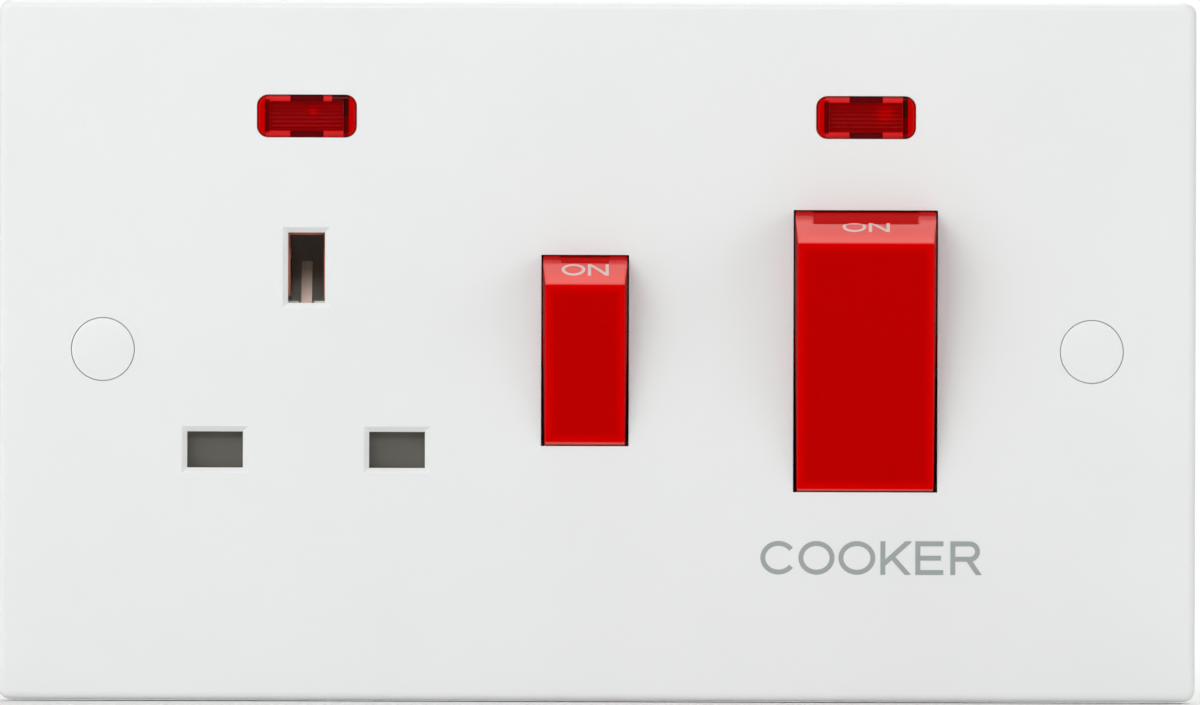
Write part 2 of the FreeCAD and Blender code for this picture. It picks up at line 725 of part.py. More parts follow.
# Rocker section about its pivot: two arcs about the pivot, closed by the face and by the rear of the skirt
def draw_rocker(sketch, radius, face, skirt):
    reach, front, rear = size_of(radius), size_of(face), size_of(skirt)
    front_angle = math.acos(-front / reach)
    rear_angle = math.acos(rear / reach)
    ring = Part.Circle(FreeCAD.Vector(), FreeCAD.Vector(0, 0, 1), reach)
    upper = sketch.addGeometry(Part.ArcOfCircle(ring, rear_angle, front_angle))
    lower = sketch.addGeometry(Part.ArcOfCircle(ring, -front_angle, -rear_angle))
    ends = [
        FreeCAD.Vector(reach * math.cos(angle), reach * math.sin(angle), 0)
        for angle in (front_angle, -front_angle, -rear_angle, rear_angle)
    ]
    face_line = sketch.addGeometry(Part.LineSegment(ends[0], ends[1]))
    rear_line = sketch.addGeometry(Part.LineSegment(ends[2], ends[3]))
    for arc in (upper, lower):
        sketch.addConstraint(Sketcher.Constraint("Coincident", arc, 3, -1, 1))
        constrain(sketch, radius, "Radius", arc, reach)
    for first, end, second, start in (
        (upper, 2, face_line, 1), (face_line, 2, lower, 1),
        (lower, 2, rear_line, 1), (rear_line, 2, upper, 1),
    ):
        sketch.addConstraint(Sketcher.Constraint("Coincident", first, end, second, start))
    for line in (face_line, rear_line):
        sketch.addConstraint(Sketcher.Constraint("Vertical", line))
    constrain(sketch, "-(%s)" % face, "DistanceX", -1, 1, face_line, 1, -front)
    constrain(sketch, skirt, "DistanceX", -1, 1, rear_line, 1, rear)


def make_rocker(label, name, x, posts):
    body = new_body(label, x=x, y=name + "_pivot", tilt=name + "_rocker_tilt")
    half = name + "_rocker_width/2"
    radius, face, skirt = (name + "_rocker_" + word for word in ("radius", "face", "skirt"))
    sketch = new_sketch(body, "section", "YZ_Plane", "-" + half)
    draw_rocker(sketch, radius, face, skirt)
    shell = body.newObject("PartDesign::Pad", label + "_shell")
    shell.Profile = sketch
    shell.setExpression("Length", formula("2*" + half))
    front = -size_of(face)
    rear = size_of(skirt)
    soften(body, "Chamfer", "edges", "rocker_edge", lambda edge: edge.YMin < front + 1e-3 or (
        edge.YLength > 1 and not edge.YMax < rear - 1e-3))
    inner = half + " - rocker_side_wall"
    sketch = new_sketch(body, "hollow_section", "YZ_Plane", inner)
    less, more = " - rocker_face_wall", " + rocker_face_wall"
    draw_rocker(sketch, radius + less, face + less, skirt + more)
    hollow = body.newObject("PartDesign::Pocket", label + "_hollow")
    hollow.Profile = sketch
    hollow.setExpression("Length", formula("2*(%s)" % inner))
    tubes = [around(post, "0", "post/2", "post/2") for post in posts]
    pad(body, "posts", tubes, "rocker_face_wall/2 - " + face, "post_reach")
    bores = [around(post, "0", "post_bore/2", "post_bore/2") for post in posts]
    pocket(body, "post_bores", bores, "post_floor", "post_reach")
    pin = ("0", "0", "pivot_pin")
    pad_across(body, "left_pin", [pin], "-%s - pivot_pin_length" % half, "-%s + rocker_side_wall/2" % half)
    pad_across(body, "right_pin", [pin], half + " - rocker_side_wall/2", half + " + pivot_pin_length")


# Square slider with a tapered nose that rides on the see-saw
def make_plunger(label, name, x):
    body = new_body(label, x=x, y=name + "_pivot", tilt=name + "_rocker_tilt")
    tip = name + "_reach"
    side, nose = "plunger/2", "plunger/2 - plunger_tip"
    section = [
        ("plunger_start", "-" + side), (tip + " - plunger_tip", "-" + side), (tip, "-(%s)" % nose),
        (tip, nose), (tip + " - plunger_tip", side), ("plunger_start", side),
    ]
    pad_across(body, "slider", [section], "-plunger/2", "plunger/2")


# Coil of square wire about its own z: the corners run round a helix, and flat facets join them
def make_coil(label, outside, start, length, turn_by, place):
    wire, turns = size_of("spring_wire"), size_of("spring_turns")
    outer, first, rise = size_of(outside), size_of(start), size_of(length) - size_of("spring_wire")
    steps = int(turns * size_of("spring_steps"))
    section = [(outer - wire, 0), (outer, 0), (outer, wire), (outer - wire, wire)]
    rings = []
    for step in range(steps + 1):
        angle = 2 * math.pi * turns * step / steps
        low = first + rise * step / steps
        rings.append([
            FreeCAD.Vector(radius * math.cos(angle), radius * math.sin(angle), low + height)
            for radius, height in section
        ])
    facets = [(rings[0][0], rings[0][2], rings[0][1]), (rings[0][0], rings[0][3], rings[0][2])]
    facets += [(rings[-1][0], rings[-1][1], rings[-1][2]), (rings[-1][0], rings[-1][2], rings[-1][3])]
    for ring, after in zip(rings, rings[1:]):
        for i in range(4):
            facets.append((ring[i - 1], ring[i], after[i]))
            facets.append((ring[i - 1], after[i], after[i - 1]))
    faces = [Part.Face(Part.makePolygon(list(facet) + [facet[0]])) for facet in facets]
    shell = Part.makeShell(faces)
    shell.sewShape()
    spring = doc.addObject("Part::Feature", label)
    spring.Label = label
    spring.Shape = Part.makeSolid(shell)
    x, y, z = (size_of(text) for text in place)
    spring.Placement = FreeCAD.Placement(
        FreeCAD.Vector(x, y, z), FreeCAD.Rotation(FreeCAD.Vector(1, 0, 0), turn_by)
    )
    parts.append(spring)


# The coil's own line is z, so a quarter turn less the tilt lays it along the plunger
def make_plunger_spring(label, name, x):
    start = "plunger_start - plunger_spring_length - post_spring_room"
    place = (x, name + "_pivot", "0")
    make_coil(
        label, "plunger/2 - spring_gap", start, "plunger_spring_length",
        size_of(name + "_rocker_tilt") - 90, place,
    )


def make_see_saw(label, x, y):
    body = new_body(label, x=x, y=y, tilt="-contact_tilt")
    blade = around("0", "0", "contact_width/2", "contact_length/2")
    pad(body, "blade", [blade], "-contact_front", "-contact_seat")
    button = around("0", "button_z", "button/2", "button/2")
    pad(body, "button", [button], "-contact_seat", "button_height - contact_seat")
    dimple = [
        ("-contact_seat", "-contact_seat"), ("-contact_seat", "contact_seat"),
        ("-contact_seat - contact_thickness/4", "0"),
    ]
    pocket_across(body, "knife_groove", [dimple], "-contact_width/2", "contact_width/2")


def make_terminal(label, side, supply):
    terminal_x = "cooker_x %s terminal_spacing/2" % side
    body = new_body(label, x=terminal_x)
    sign = "-" if supply else ""
    middle = sign + "(terminal_start + terminal_length/2)"
    block = around("0", middle, "terminal_width/2", "terminal_length/2")
    pad(body, "block", [block], "flange_rear", "terminal_rear")
    rear = size_of("terminal_rear")
    soften(body, "Chamfer", "block_edge", "terminal_edge", lambda edge: flat_at(edge, rear))
    bore = ("0", "cable_y", "cable_bore")
    if supply:
        pocket_down(body, "cable_bore", [bore], "-terminal_end", "cable_depth - terminal_end")
    else:
        pocket_down(body, "cable_bore", [bore], "terminal_end - cable_depth", "terminal_end")
    clamp = ("0", sign + "terminal_middle", "clamp_screw + 2*thread_clearance")
    pocket(body, "clamp_hole", [clamp], "cable_y", "terminal_rear")
    pole = "(0 %s (pole_spacing - terminal_spacing)/2)" % side
    left, right = pole + " - strap_width/2", pole + " + strap_width/2"
    if supply:
        strap = box(left, right, "-terminal_start", "supply_end")
        pad(body, "strap", [strap], "supply_front", "supply_rear")
        knife = [
            ("supply_front", "-fulcrum_width/2"), ("supply_front", "fulcrum_width/2"), ("contact_y", "0"),
        ]
        pad_across(body, "knife_edge", [knife], left, right)
    else:
        strap = box(left, right, "load_end", "terminal_start")
        pad(body, "strap", [strap], "load_front", "load_rear")
        fixed_contact(body, pole, "load_front")


def fixed_contact(body, x, front):
    button = around(x, "button_z", "button/2", "button/2")
    pad(body, "fixed_contact", [button], front + " - button_height", front)


def screw_slot(body, name, x, z, width, rear):
    groove = around(x, z, width + "/2", "slot_width/2")
    pocket(body, name + "_slot", [groove], rear + " - slot_depth", rear)


# Headless slotted screw that clamps a cable from the rear
def clamp_screw(body, name, x, z, tip):
    rear = "terminal_rear + clamp_proud"
    pad(body, name, [(x, z, "clamp_screw")], tip, rear)
    screw_slot(body, name, x, z, "clamp_screw", rear)


def make_clamp_screws():
    body = new_body("cooker_terminal_screws")
    for name, side, sign in (
        ("supply_live", "-", "-"), ("supply_neutral", "+", "-"),
        ("load_live", "-", ""), ("load_neutral", "+", ""),
    ):
        x = "cooker_x %s terminal_spacing/2" % side
        clamp_screw(body, name, x, sign + "terminal_middle", "clamp_tip")


def make_earth_terminal():
    body = new_body("earth_terminal", x="earth_bar_x")
    outline = box("-earth_bar_width/2", "earth_bar_width/2", "terminal_start", "earth_bar_end")
    pad(body, "bar", [outline], "flange_rear", "terminal_rear")
    rear = size_of("terminal_rear")
    soften(body, "Chamfer", "bar_edge", "terminal_edge", lambda edge: flat_at(edge, rear))
    places = ["-earth_bore_spacing/2", "earth_bore_spacing/2"]
    bores = [(x, "cable_y", "earth_bore") for x in places]
    pocket_down(body, "cable_bores", bores, "earth_bar_end - cable_depth", "earth_bar_end")
    holes = [(x, "earth_bar_middle", "clamp_screw + 2*thread_clearance") for x in places]
    pocket(body, "clamp_holes", holes, "cable_y", "terminal_rear")
    screws = new_body("earth_terminal_screws", x="earth_bar_x")
    for name, x in zip(("left", "right"), places):
        clamp_screw(screws, name, x, "earth_bar_middle", "earth_clamp_tip")


def make_base_screws():
    body = new_body("base_screws")
    rear = "flange_rear + base_screw_head_height"
    shank, head = "base_screw/2", "base_screw_head/2"
    for name, (x, z) in zip(("upper", "lower"), base_screw_places()):
        turn(body, name, [
            ("0", "screw_tip"), (shank, "screw_tip"), (shank, "flange_rear"), (head, "flange_rear"),
            (head, rear), ("0", rear),
        ], x=x, z=z)
        screw_slot(body, name, x, z, "base_screw_head", rear)


def make_earth_contact():
    body = new_body("earth_contact")
    top = "earth_clip_top"
    foot = "earth_clip_top - earth_clip_height"
    cover = "earth_clip_top + clip_thickness"
    clip = [
        ("socket_x - clip_outer", foot), ("socket_x - clip_inner", foot), ("socket_x - clip_inner", top),
        ("socket_x + clip_inner", top), ("socket_x + clip_inner", foot), ("socket_x + clip_outer", foot),
        ("socket_x + clip_outer", cover), ("socket_x - clip_outer", cover),
    ]
    pad(body, "clip", [clip], "earth_clip_front", "earth_clip_front + earth_clip_length")
    strip = [
        ("socket_x", top), ("earth_tab_right", top), ("earth_tab_right", "terminal_start"),
        ("earth_tab_x", "terminal_start"), ("earth_tab_x", cover), ("socket_x", cover),
    ]
    pad(body, "strip", [strip], "earth_strip_front", "earth_strip_rear")


# Spring leaves that grip a flat pin from above and below, flared at the mouth
def clip_leaves(body, x, rear):
    leaves = []
    straight = "clip_front + clip_flare_length"
    for side in ("-", "+"):
        near, far = ("pin_z %s %s" % (side, reach) for reach in ("clip_inner", "clip_outer"))
        leaves.append([
            (rear, near), (straight, near), ("clip_front", "%s %s clip_flare" % (near, side)),
            ("clip_front", "%s %s clip_flare" % (far, side)), (straight, far), (rear, far),
        ])
    pad_across(body, "leaves", leaves, x + " - clip_width/2", x + " + clip_width/2")


def make_live_link():
    body = new_body("live_link")
    left, right = "switch_x - strap_width/2", "switch_x + strap_width/2"
    end = "live_pole_x + strap_width/2"
    outline = [
        (left, "link_bottom"), (end, "link_bottom"), (end, "link_top"), (right, "link_top"),
        (right, "supply_end"), (left, "supply_end"),
    ]
    pad(body, "strip", [outline], "link_front", "link_rear")
    knife = [
        ("link_front", "-fulcrum_width/2"), ("link_front", "fulcrum_width/2"), ("socket_contact_y", "0"),
    ]
    pad_across(body, "knife_edge", [knife], left, right)


def make_live_contact():
    body = new_body("live_contact")
    riser = "live_left + riser_width"
    foot = "pin_z - clip_outer"
    right = "live_left + clip_width"
    end = "switch_x + strap_width/2"
    low, high = "lens_z - arm_height/2", "lens_z + arm_height/2"
    outline = [
        (end, "load_end"), (end, "run_top"), (riser, "run_top"), (riser, high), ("live_arm_end", high),
        ("live_arm_end", low), ("live_left", low), ("live_left", foot), (right, foot), (right, "load_end"),
    ]
    pad(body, "strip", [outline], "live_front", "live_rear")
    fixed_contact(body, "switch_x", "live_front")
    clip_leaves(body, "live_pin_x", "live_front")


def make_neutral_contact():
    body = new_body("neutral_contact")
    riser = "neutral_left + riser_width"
    right = "neutral_left + clip_width"
    end = "neutral_pole_x + strap_width/2"
    low, high = "lens_z - arm_height/2", "lens_z + arm_height/2"
    head = "pin_z + clip_outer"
    outline = [
        ("neutral_left", "neutral_bottom"), (end, "neutral_bottom"), (end, "neutral_top"),
        (right, "neutral_top"), (right, head), (riser, head), (riser, low), ("neutral_arm_end", low),
        ("neutral_arm_end", high), ("neutral_left", high),
    ]
    pad(body, "strip", [outline], "neutral_front", "neutral_rear")
    tab = box("neutral_pole_x - strap_width/2", end, "neutral_bottom", "neutral_bottom + neutral_tab")
    pad(body, "tab", [tab], "supply_rear", "neutral_front")
    clip_leaves(body, "neutral_pin_x", "neutral_front")


def make_shutter():
    body = new_body("socket_shutter")
    left, right = "neutral_pin_x - shutter_reach", "live_pin_x + shutter_reach"
    stem_left, stem_right = "socket_x - shutter_stem/2", "socket_x + shutter_stem/2"
    outline = [
        (left, "shutter_bottom"), (right, "shutter_bottom"), (right, "shutter_top"),
        (stem_right, "shutter_top"), (stem_right, "stem_top"), (stem_left, "stem_top"),
        (stem_left, "shutter_top"), (left, "shutter_top"),
    ]
    pad(body, "slide", [outline], "shutter_front", "shutter_rear")
    back = "ramp_rear + ramp_land"
    ramp = [
        ("shutter_front", "ramp_foot"), ("shutter_front", "ramp_bottom"), ("ramp_rear", "ramp_top"),
        (back, "ramp_top"), (back, "ramp_top - ramp_land"), ("shutter_rear", "ramp_foot"),
    ]
    pad_across(body, "ramp", [ramp], "socket_x - ramp_width/2", "socket_x + ramp_width/2")
    tab = box("socket_x - spring_tab/2", "socket_x + spring_tab/2", "tab_bottom", "spring_tab_top")
    pad(body, "spring_tab", [tab], "shutter_rear", "shutter_floor + shutter_spring")


def make_shutter_spring():
    start = "shutter_spring_end + post_spring_room"
    place = ("socket_x", "shutter_spring_y", "0")
    make_coil("shutter_spring", "shutter_spring/2", start, "shutter_spring_length", 0, place)


def make_lens(label, x):
    body = new_body(label, x=x, z="lens_z")
    window = around("0", "0", "lens_width/2 - lens_gap", "lens_height/2 - lens_gap")
    lip_front = "plate_back"
    lip_rear = "plate_back + lens_lip_thickness"
    pad(body, "window", [window], "plate_front - lens_proud", lip_rear)
    soften(body, "Fillet", "window_corners", "lens_corner - lens_gap", along_depth)
    pad(body, "lip", [around("0", "0", "lens_lip_x", "lens_lip_z")], lip_front, lip_rear)
    front = "plate_front - lens_proud"
    low, half = "-lens_rib_span/2", "lens_rib_width/2"
    groove = [(front, low + " - " + half), (front, low + " + " + half), (front + " + lens_rib_depth", low)]
    first = pocket_across(body, "rib_groove", [groove], "-lens_width/2", "lens_width/2")
    ribs = body.newObject("PartDesign::LinearPattern", label + "_ribs")
    ribs.Originals = [first]
    ribs.Direction = (next(axis for axis in body.Origin.OriginFeatures if axis.Role == "Z_Axis"), [""])
    ribs.setExpression("Length", formula("lens_rib_span"))
    ribs.setExpression("Occurrences", formula("lens_ribs"))
    body.Tip = ribs


def make_lamp(label, x, ends):
    body = new_body(label, x=x, z="lens_z")
    pad_across(body, "bulb", [("lamp_y", "0", "lamp")], "-lamp_length/2", "lamp_length/2")
    for name, sign, end in (("left_lead", "-", ends[0]), ("right_lead", "", ends[1])):
        pad(body, name, [around(sign + "lead_spread/2", "0", "lamp_lead/2", "lamp_lead/2")], "lamp_y", end)


def check_model():
    for item in doc.Objects:
        if "Invalid" in item.State or "Error" in item.State:
            raise RuntimeError("%s failed: %s" % (item.Label, item.State))
        if item.TypeId == "PartDesign::Pocket" and item.Shape.Volume > item.BaseFeature.Shape.Volume - 1e-3:
            raise RuntimeError(item.Label + " cuts nothing")
    for body in parts:
        if body.Shape.isNull() or not body.Shape.isValid() or not body.Shape.Solids:
            raise RuntimeError(body.Label + " has no valid shape")


make_front_plate()
make_base()
make_cap("left_screw_cap", "-fixing_spacing/2")
make_cap("right_screw_cap", "fixing_spacing/2")
make_rocker("cooker_rocker", "cooker", "cooker_x", ["-pole_spacing/2", "pole_spacing/2"])
make_rocker("socket_rocker", "socket", "switch_x", ["0"])
for pole in ("live", "neutral"):
    make_plunger("cooker_%s_plunger" % pole, "cooker", pole + "_pole_x")
    make_plunger_spring("cooker_%s_plunger_spring" % pole, "cooker", pole + "_pole_x")
    make_see_saw("cooker_%s_contact" % pole, pole + "_pole_x", "contact_y")
    make_terminal("supply_%s_terminal" % pole, "-" if pole == "live" else "+", True)
    make_terminal("load_%s_terminal" % pole, "-" if pole == "live" else "+", False)
make_plunger("socket_plunger", "socket", "switch_x")
make_plunger_spring("socket_plunger_spring", "socket", "switch_x")
make_see_saw("socket_switch_contact", "switch_x", "socket_contact_y")
make_clamp_screws()
make_earth_terminal()
make_earth_contact()
make_live_link()
make_live_contact()
make_neutral_contact()
make_shutter()
make_shutter_spring()
make_lens("cooker_neon_lens", "cooker_x")
make_lens("socket_neon_lens", "socket_x")
make_lamp("cooker_neon_lamp", "cooker_x", ("flange_rear", "flange_rear"))
make_lamp("socket_neon_lamp", "socket_x", ("neutral_front", "live_front"))
make_base_screws()

doc.recompute()
check_model()
os.makedirs("parts", exist_ok=True)
for body in parts:
    body.Shape.exportStep("parts/%s.step" % body.Label)
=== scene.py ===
import json
import math

import bmesh
import bpy
import numpy as np
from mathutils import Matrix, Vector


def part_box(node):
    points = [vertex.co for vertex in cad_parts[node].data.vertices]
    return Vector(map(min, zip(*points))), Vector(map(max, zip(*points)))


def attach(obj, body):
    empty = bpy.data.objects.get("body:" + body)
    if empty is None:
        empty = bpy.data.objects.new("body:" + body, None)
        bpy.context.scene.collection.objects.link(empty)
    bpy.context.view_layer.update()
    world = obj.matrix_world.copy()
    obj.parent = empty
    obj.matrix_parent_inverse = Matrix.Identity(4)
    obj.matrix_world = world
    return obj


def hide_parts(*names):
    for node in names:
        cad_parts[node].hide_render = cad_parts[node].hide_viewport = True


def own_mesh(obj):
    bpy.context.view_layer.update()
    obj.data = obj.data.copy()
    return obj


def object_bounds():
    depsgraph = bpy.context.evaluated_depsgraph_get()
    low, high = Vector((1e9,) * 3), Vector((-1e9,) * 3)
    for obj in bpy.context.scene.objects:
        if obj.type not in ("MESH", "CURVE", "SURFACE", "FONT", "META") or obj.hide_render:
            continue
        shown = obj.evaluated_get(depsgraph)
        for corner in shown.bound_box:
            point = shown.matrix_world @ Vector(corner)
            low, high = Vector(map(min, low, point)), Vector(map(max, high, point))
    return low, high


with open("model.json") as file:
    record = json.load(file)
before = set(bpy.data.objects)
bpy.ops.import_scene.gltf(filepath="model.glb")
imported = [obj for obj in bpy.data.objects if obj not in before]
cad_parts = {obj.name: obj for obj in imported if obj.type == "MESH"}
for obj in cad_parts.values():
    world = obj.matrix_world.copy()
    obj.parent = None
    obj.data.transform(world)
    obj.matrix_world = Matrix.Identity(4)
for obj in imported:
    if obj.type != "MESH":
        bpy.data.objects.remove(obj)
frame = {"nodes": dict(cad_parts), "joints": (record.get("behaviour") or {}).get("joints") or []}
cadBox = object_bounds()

mm = 0.001
nodes = frame["nodes"]
joints = {joint["name"]: joint for joint in frame["joints"]}
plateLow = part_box("front_plate")[0]
print("frame loaded,", len(nodes), "nodes")


# Small helpers: colour, shader nodes, grids and pieces

def linear(code):
    # sRGB hex to the linear light that shader sockets take
    parts = [int(code[i:i + 2], 16) / 255 for i in (1, 3, 5)]
    return [c / 12.92 if c <= 0.04045 else ((c + 0.055) / 1.055) ** 2.4 for c in parts] + [1.0]


def addNode(tree, kind, values=None, links=None, stops=(), **settings):
    # values fill input sockets, links join sockets to inputs, where a node stands for its first output,
    # stops are the places and colours of a ramp, settings are the node's own
    node = tree.nodes.new("ShaderNode" + kind)
    for key, value in settings.items():
        setattr(node, key, value)
    for key, value in (values or {}).items():
        node.inputs[key].default_value = value
    for key, source in (links or {}).items():
        tree.links.new(getattr(source, "outputs", [source])[0], node.inputs[key])
    for _ in stops[2:]:
        node.color_ramp.elements.new(0.5)
    for i, (place, code) in enumerate(stops):
        node.color_ramp.elements[i].position = place
        node.color_ramp.elements[i].color = linear(code)
    return node


def startMaterial(name, **values):
    # a Principled material with its fixed values on the shader's own sockets, and Object coordinates
    material = bpy.data.materials.new(name)
    material.use_nodes = True
    tree = material.node_tree
    for key, value in values.items():
        tree.nodes["Principled BSDF"].inputs[key.replace("_", " ")].default_value = value
    coords = addNode(tree, "TexCoord").outputs["Object"]
    return material, tree, coords


def layFinish(material, tone, stops, wear=None, rough=(), span=(0.25, 0.75), relief=None, depth=0.0):
    # colour follows tone along the stops; roughness eases over rough while wear crosses the span, which
    # is its middle half unless given, because noise gathers round a half; relief lifts the surface by
    # depth, its real height in millimetres
    tree = material.node_tree
    shader = tree.nodes["Principled BSDF"]
    colour = addNode(tree, "ValToRGB", None, {"Fac": tone}, stops)
    tree.links.new(colour.outputs["Color"], shader.inputs["Base Color"])
    if wear is not None:
        limits = {"From Min": span[0], "From Max": span[1], "To Min": rough[0], "To Max": rough[1]}
        gloss = addNode(tree, "MapRange", limits, {"Value": wear}, interpolation_type="SMOOTHSTEP")
        tree.links.new(gloss.outputs["Result"], shader.inputs["Roughness"])
    if relief is not None:
        lift = addNode(tree, "Bump", {"Strength": 1.0, "Distance": depth * mm}, {"Height": relief})
        tree.links.new(lift.outputs["Normal"], shader.inputs["Normal"])
    return material


def perMm(size):
    # texture scale for a feature of this many millimetres, on coordinates in metres
    return 1 / (size * mm)


def gridFaces(rows, columns, start):
    # quads between neighbouring rows and columns, points numbered row by row
    index = np.arange(rows * columns).reshape(rows, columns) + start
    quads = [index[:-1, :-1], index[:-1, 1:], index[1:, 1:], index[1:, :-1]]
    return np.stack(quads, axis=-1).reshape(-1, 4)


mergeDistance, sliverDistance = 2e-6, 1e-6  # metres


def makePiece(name, sheets, material, body, sharp=35):
    # sheets are grids of points in metres; shared borders are merged and faces turned outwards
    points = [sheet.reshape(-1, 3) for sheet in sheets]
    starts = np.cumsum([0] + [len(group) for group in points])
    quads = [gridFaces(*sheet.shape[:2], start) for sheet, start in zip(sheets, starts)]
    mesh = bpy.data.meshes.new(name)
    mesh.from_pydata(np.concatenate(points).tolist(), [], np.concatenate(quads).tolist())
    work = bmesh.new()
    work.from_mesh(mesh)
    bmesh.ops.remove_doubles(work, verts=work.verts, dist=mergeDistance)
    bmesh.ops.dissolve_degenerate(work, edges=work.edges, dist=sliverDistance)
    bmesh.ops.recalc_face_normals(work, faces=work.faces)
    work.to_mesh(mesh)
    work.free()
    mesh.shade_smooth()
    mesh.set_sharp_from_angle(angle=math.radians(sharp))
    piece = bpy.data.objects.new(name, mesh)
    bpy.context.scene.collection.objects.link(piece)
    mesh.materials.append(material)
    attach(piece, body)
    return piece


def boxInMm(node):
    # low corner, high corner and middle of a node's box, in millimetres
    low, high = (np.array(corner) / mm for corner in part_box(node))
    return low, high, (low + high) / 2


def readPoints(piece):
    # a piece's points as rows of (x, y, z)
    flat = np.empty(len(piece.data.vertices) * 3)
    piece.data.vertices.foreach_get("co", flat)
    return flat.reshape(-1, 3)


def paint(piece, name, values):
    # one number for each point, which the material reads as an attribute
    layer = piece.data.attributes.new(name, "FLOAT", "POINT")
    layer.data.foreach_set("value", np.ascontiguousarray(values, np.float32))


def ease(value, start, end):
    # smooth step from 0 at start to 1 at end
    share = np.clip((value - start) / (end - start), 0, 1)
    return share * share * (3 - 2 * share)


def around(profile, ring):
    # profile rows are (scale, along); each scales the closed ring of (across, up) points
    scale, along = np.array(profile, float).T
    loop = np.vstack([ring, ring[:1]])
    flat = scale[:, None, None] * loop[None]
    rise = np.broadcast_to(along[:, None, None], flat.shape[:2] + (1,))
    return np.concatenate([flat, rise], axis=-1)


def circle(count):
    # evenly spaced points of a unit circle
    turn = np.linspace(0, 2 * np.pi, count, endpoint=False)
    return np.stack([np.cos(turn), np.sin(turn)], axis=-1)


# Finishes

def whiteUrea():
    # urea-formaldehyde, compression moulded in a polished tool: white and even, with a soft gloss and
    # a faint orange peel
    material, tree, coords = startMaterial("whiteUreaMoulding", IOR=1.55)
    peel = addNode(tree, "TexNoise", {"Scale": perMm(1.6)}, {"Vector": coords})
    cloud = addNode(tree, "TexNoise", {"Scale": perMm(22)}, {"Vector": coords})
    stops = [(0, "#EDEFEF"), (1, "#F0F2F2")]
    return layFinish(material, cloud, stops, wear=cloud, rough=(0.30, 0.38), relief=peel, depth=0.004)


def ivoryUrea():
    # the same resin from a blasted tool: off-white and matt, with a fine grain, drawn coarser than it is
    # so that it shows
    material, tree, coords = startMaterial("ivoryUreaMoulding", IOR=1.55)
    grain = addNode(tree, "TexNoise", {"Scale": perMm(0.5), "Detail": 3.0}, {"Vector": coords})
    cloud = addNode(tree, "TexNoise", {"Scale": perMm(14)}, {"Vector": coords})
    stops = [(0, "#DAD8CE"), (1, "#E4E2D8")]
    return layFinish(material, cloud, stops, wear=grain, rough=(0.48, 0.62), relief=grain, depth=0.012)


def redPolycarbonate():
    # polycarbonate coloured through, injection moulded: deep red and polished on the face; a painted
    # highlight brightens the face along its corners, where light would get through, and paints the ends
    # paler, for the light from above falling on them; painted shade darkens the relief sunk in the ends and
    # the ends near the plate, both also dull, and the cheeks, which are dull and thin over the hollow
    material, tree, coords = startMaterial(
        "redPolycarbonateMoulding", IOR=1.58, Specular_Tint=linear("#FF0000"))
    shade = addNode(tree, "Attribute", attribute_name="shade").outputs["Fac"]
    grain = addNode(tree, "TexNoise", {"Scale": perMm(0.35)}, {"Vector": coords})
    # ramp: painted shade on the cheeks, painted shade in the relief and near the plate, the face's own red,
    # painted highlight at the face's corners, painted highlight on the ends
    stops = [(0, "#880000"), (1 / 4, "#BC0808"), (1 / 2, "#C00000"), (3 / 4, "#DC0000"), (1, "#E66660")]
    dullToBright = {"wear": shade, "rough": (0.9, 0.3), "span": (1 / 4, 1 / 2)}
    return layFinish(material, shade, stops, relief=grain, depth=0.0006, **dullToBright)


def redLens():
    # dyed clear acrylic, moulded with ribs; its colour carries painted light and shade: painted dark over
    # the hollow behind it, painted bright where its edges would gather the light, and a painted glow where
    # the unlit lamp sits behind it
    material, tree, coords = startMaterial(
        "redAcrylicLens", IOR=1.49, Roughness=0.16, Specular_Tint=linear("#FF2020"))
    glow = addNode(tree, "Attribute", attribute_name="glow").outputs["Fac"]
    ripple = addNode(tree, "TexNoise", {"Scale": perMm(0.6)}, {"Vector": coords})
    # ramp from painted shadow in the grooves and hollows, through the red of the field, to painted highlight
    # on the edges
    stops = [(0.0, "#2A1612"), (0.25, "#640C12"), (0.45, "#920000"), (0.65, "#C80000"), (0.82, "#D83434")]
    return layFinish(material, glow, stops, relief=ripple, depth=0.002)


def greyNylon():
    # filled polyamide, moulded: dull grey; up the ramp its colour carries painted light and shade, pale at
    # the foot, where the earth pin slides, and darker and browner further up
    material, tree, coords = startMaterial("greyNylonMoulding", IOR=1.53)
    cloud = addNode(tree, "TexNoise", {"Scale": perMm(5)}, {"Vector": coords})
    grain = addNode(tree, "TexNoise", {"Scale": perMm(0.4), "Detail": 3.0}, {"Vector": coords})
    height = addNode(tree, "SeparateXYZ", None, {"Vector": coords}).outputs["Z"]
    limits = {"From Min": 4 * mm, "From Max": 12 * mm}
    along = addNode(tree, "MapRange", limits, {"Value": height})
    # the borders of the painted light band waver by a few hundredths of the ramp
    uneven = addNode(tree, "Math", {2: -0.02}, {0: cloud, 1: cloud}, operation="MULTIPLY_ADD")
    rampLightAndShade = addNode(tree, "Math", {1: 0.06}, {0: uneven, 2: along}, operation="MULTIPLY_ADD")
    # own grey below the ramp, then painted light at its foot, fading to painted shade further up
    stops = [(0.0, "#5E5B52"), (0.17, "#5E5B52"), (0.22, "#F4D8CE"), (0.45, "#CCB2A6"), (0.75, "#7A6A60")]
    return layFinish(material, rampLightAndShade, stops, wear=cloud, rough=(0.42, 0.55), relief=grain, depth=0.006)


def naturalNylon():
    # unfilled polyamide, moulded: creamy and waxy
    material, tree, coords = startMaterial("naturalNylonMoulding", IOR=1.53)
    cloud = addNode(tree, "TexNoise", {"Scale": perMm(4)}, {"Vector": coords})
    stops = [(0, "#DED8C6"), (1, "#E8E3D3")]
    return layFinish(material, cloud, stops, wear=cloud, rough=(0.35, 0.48))


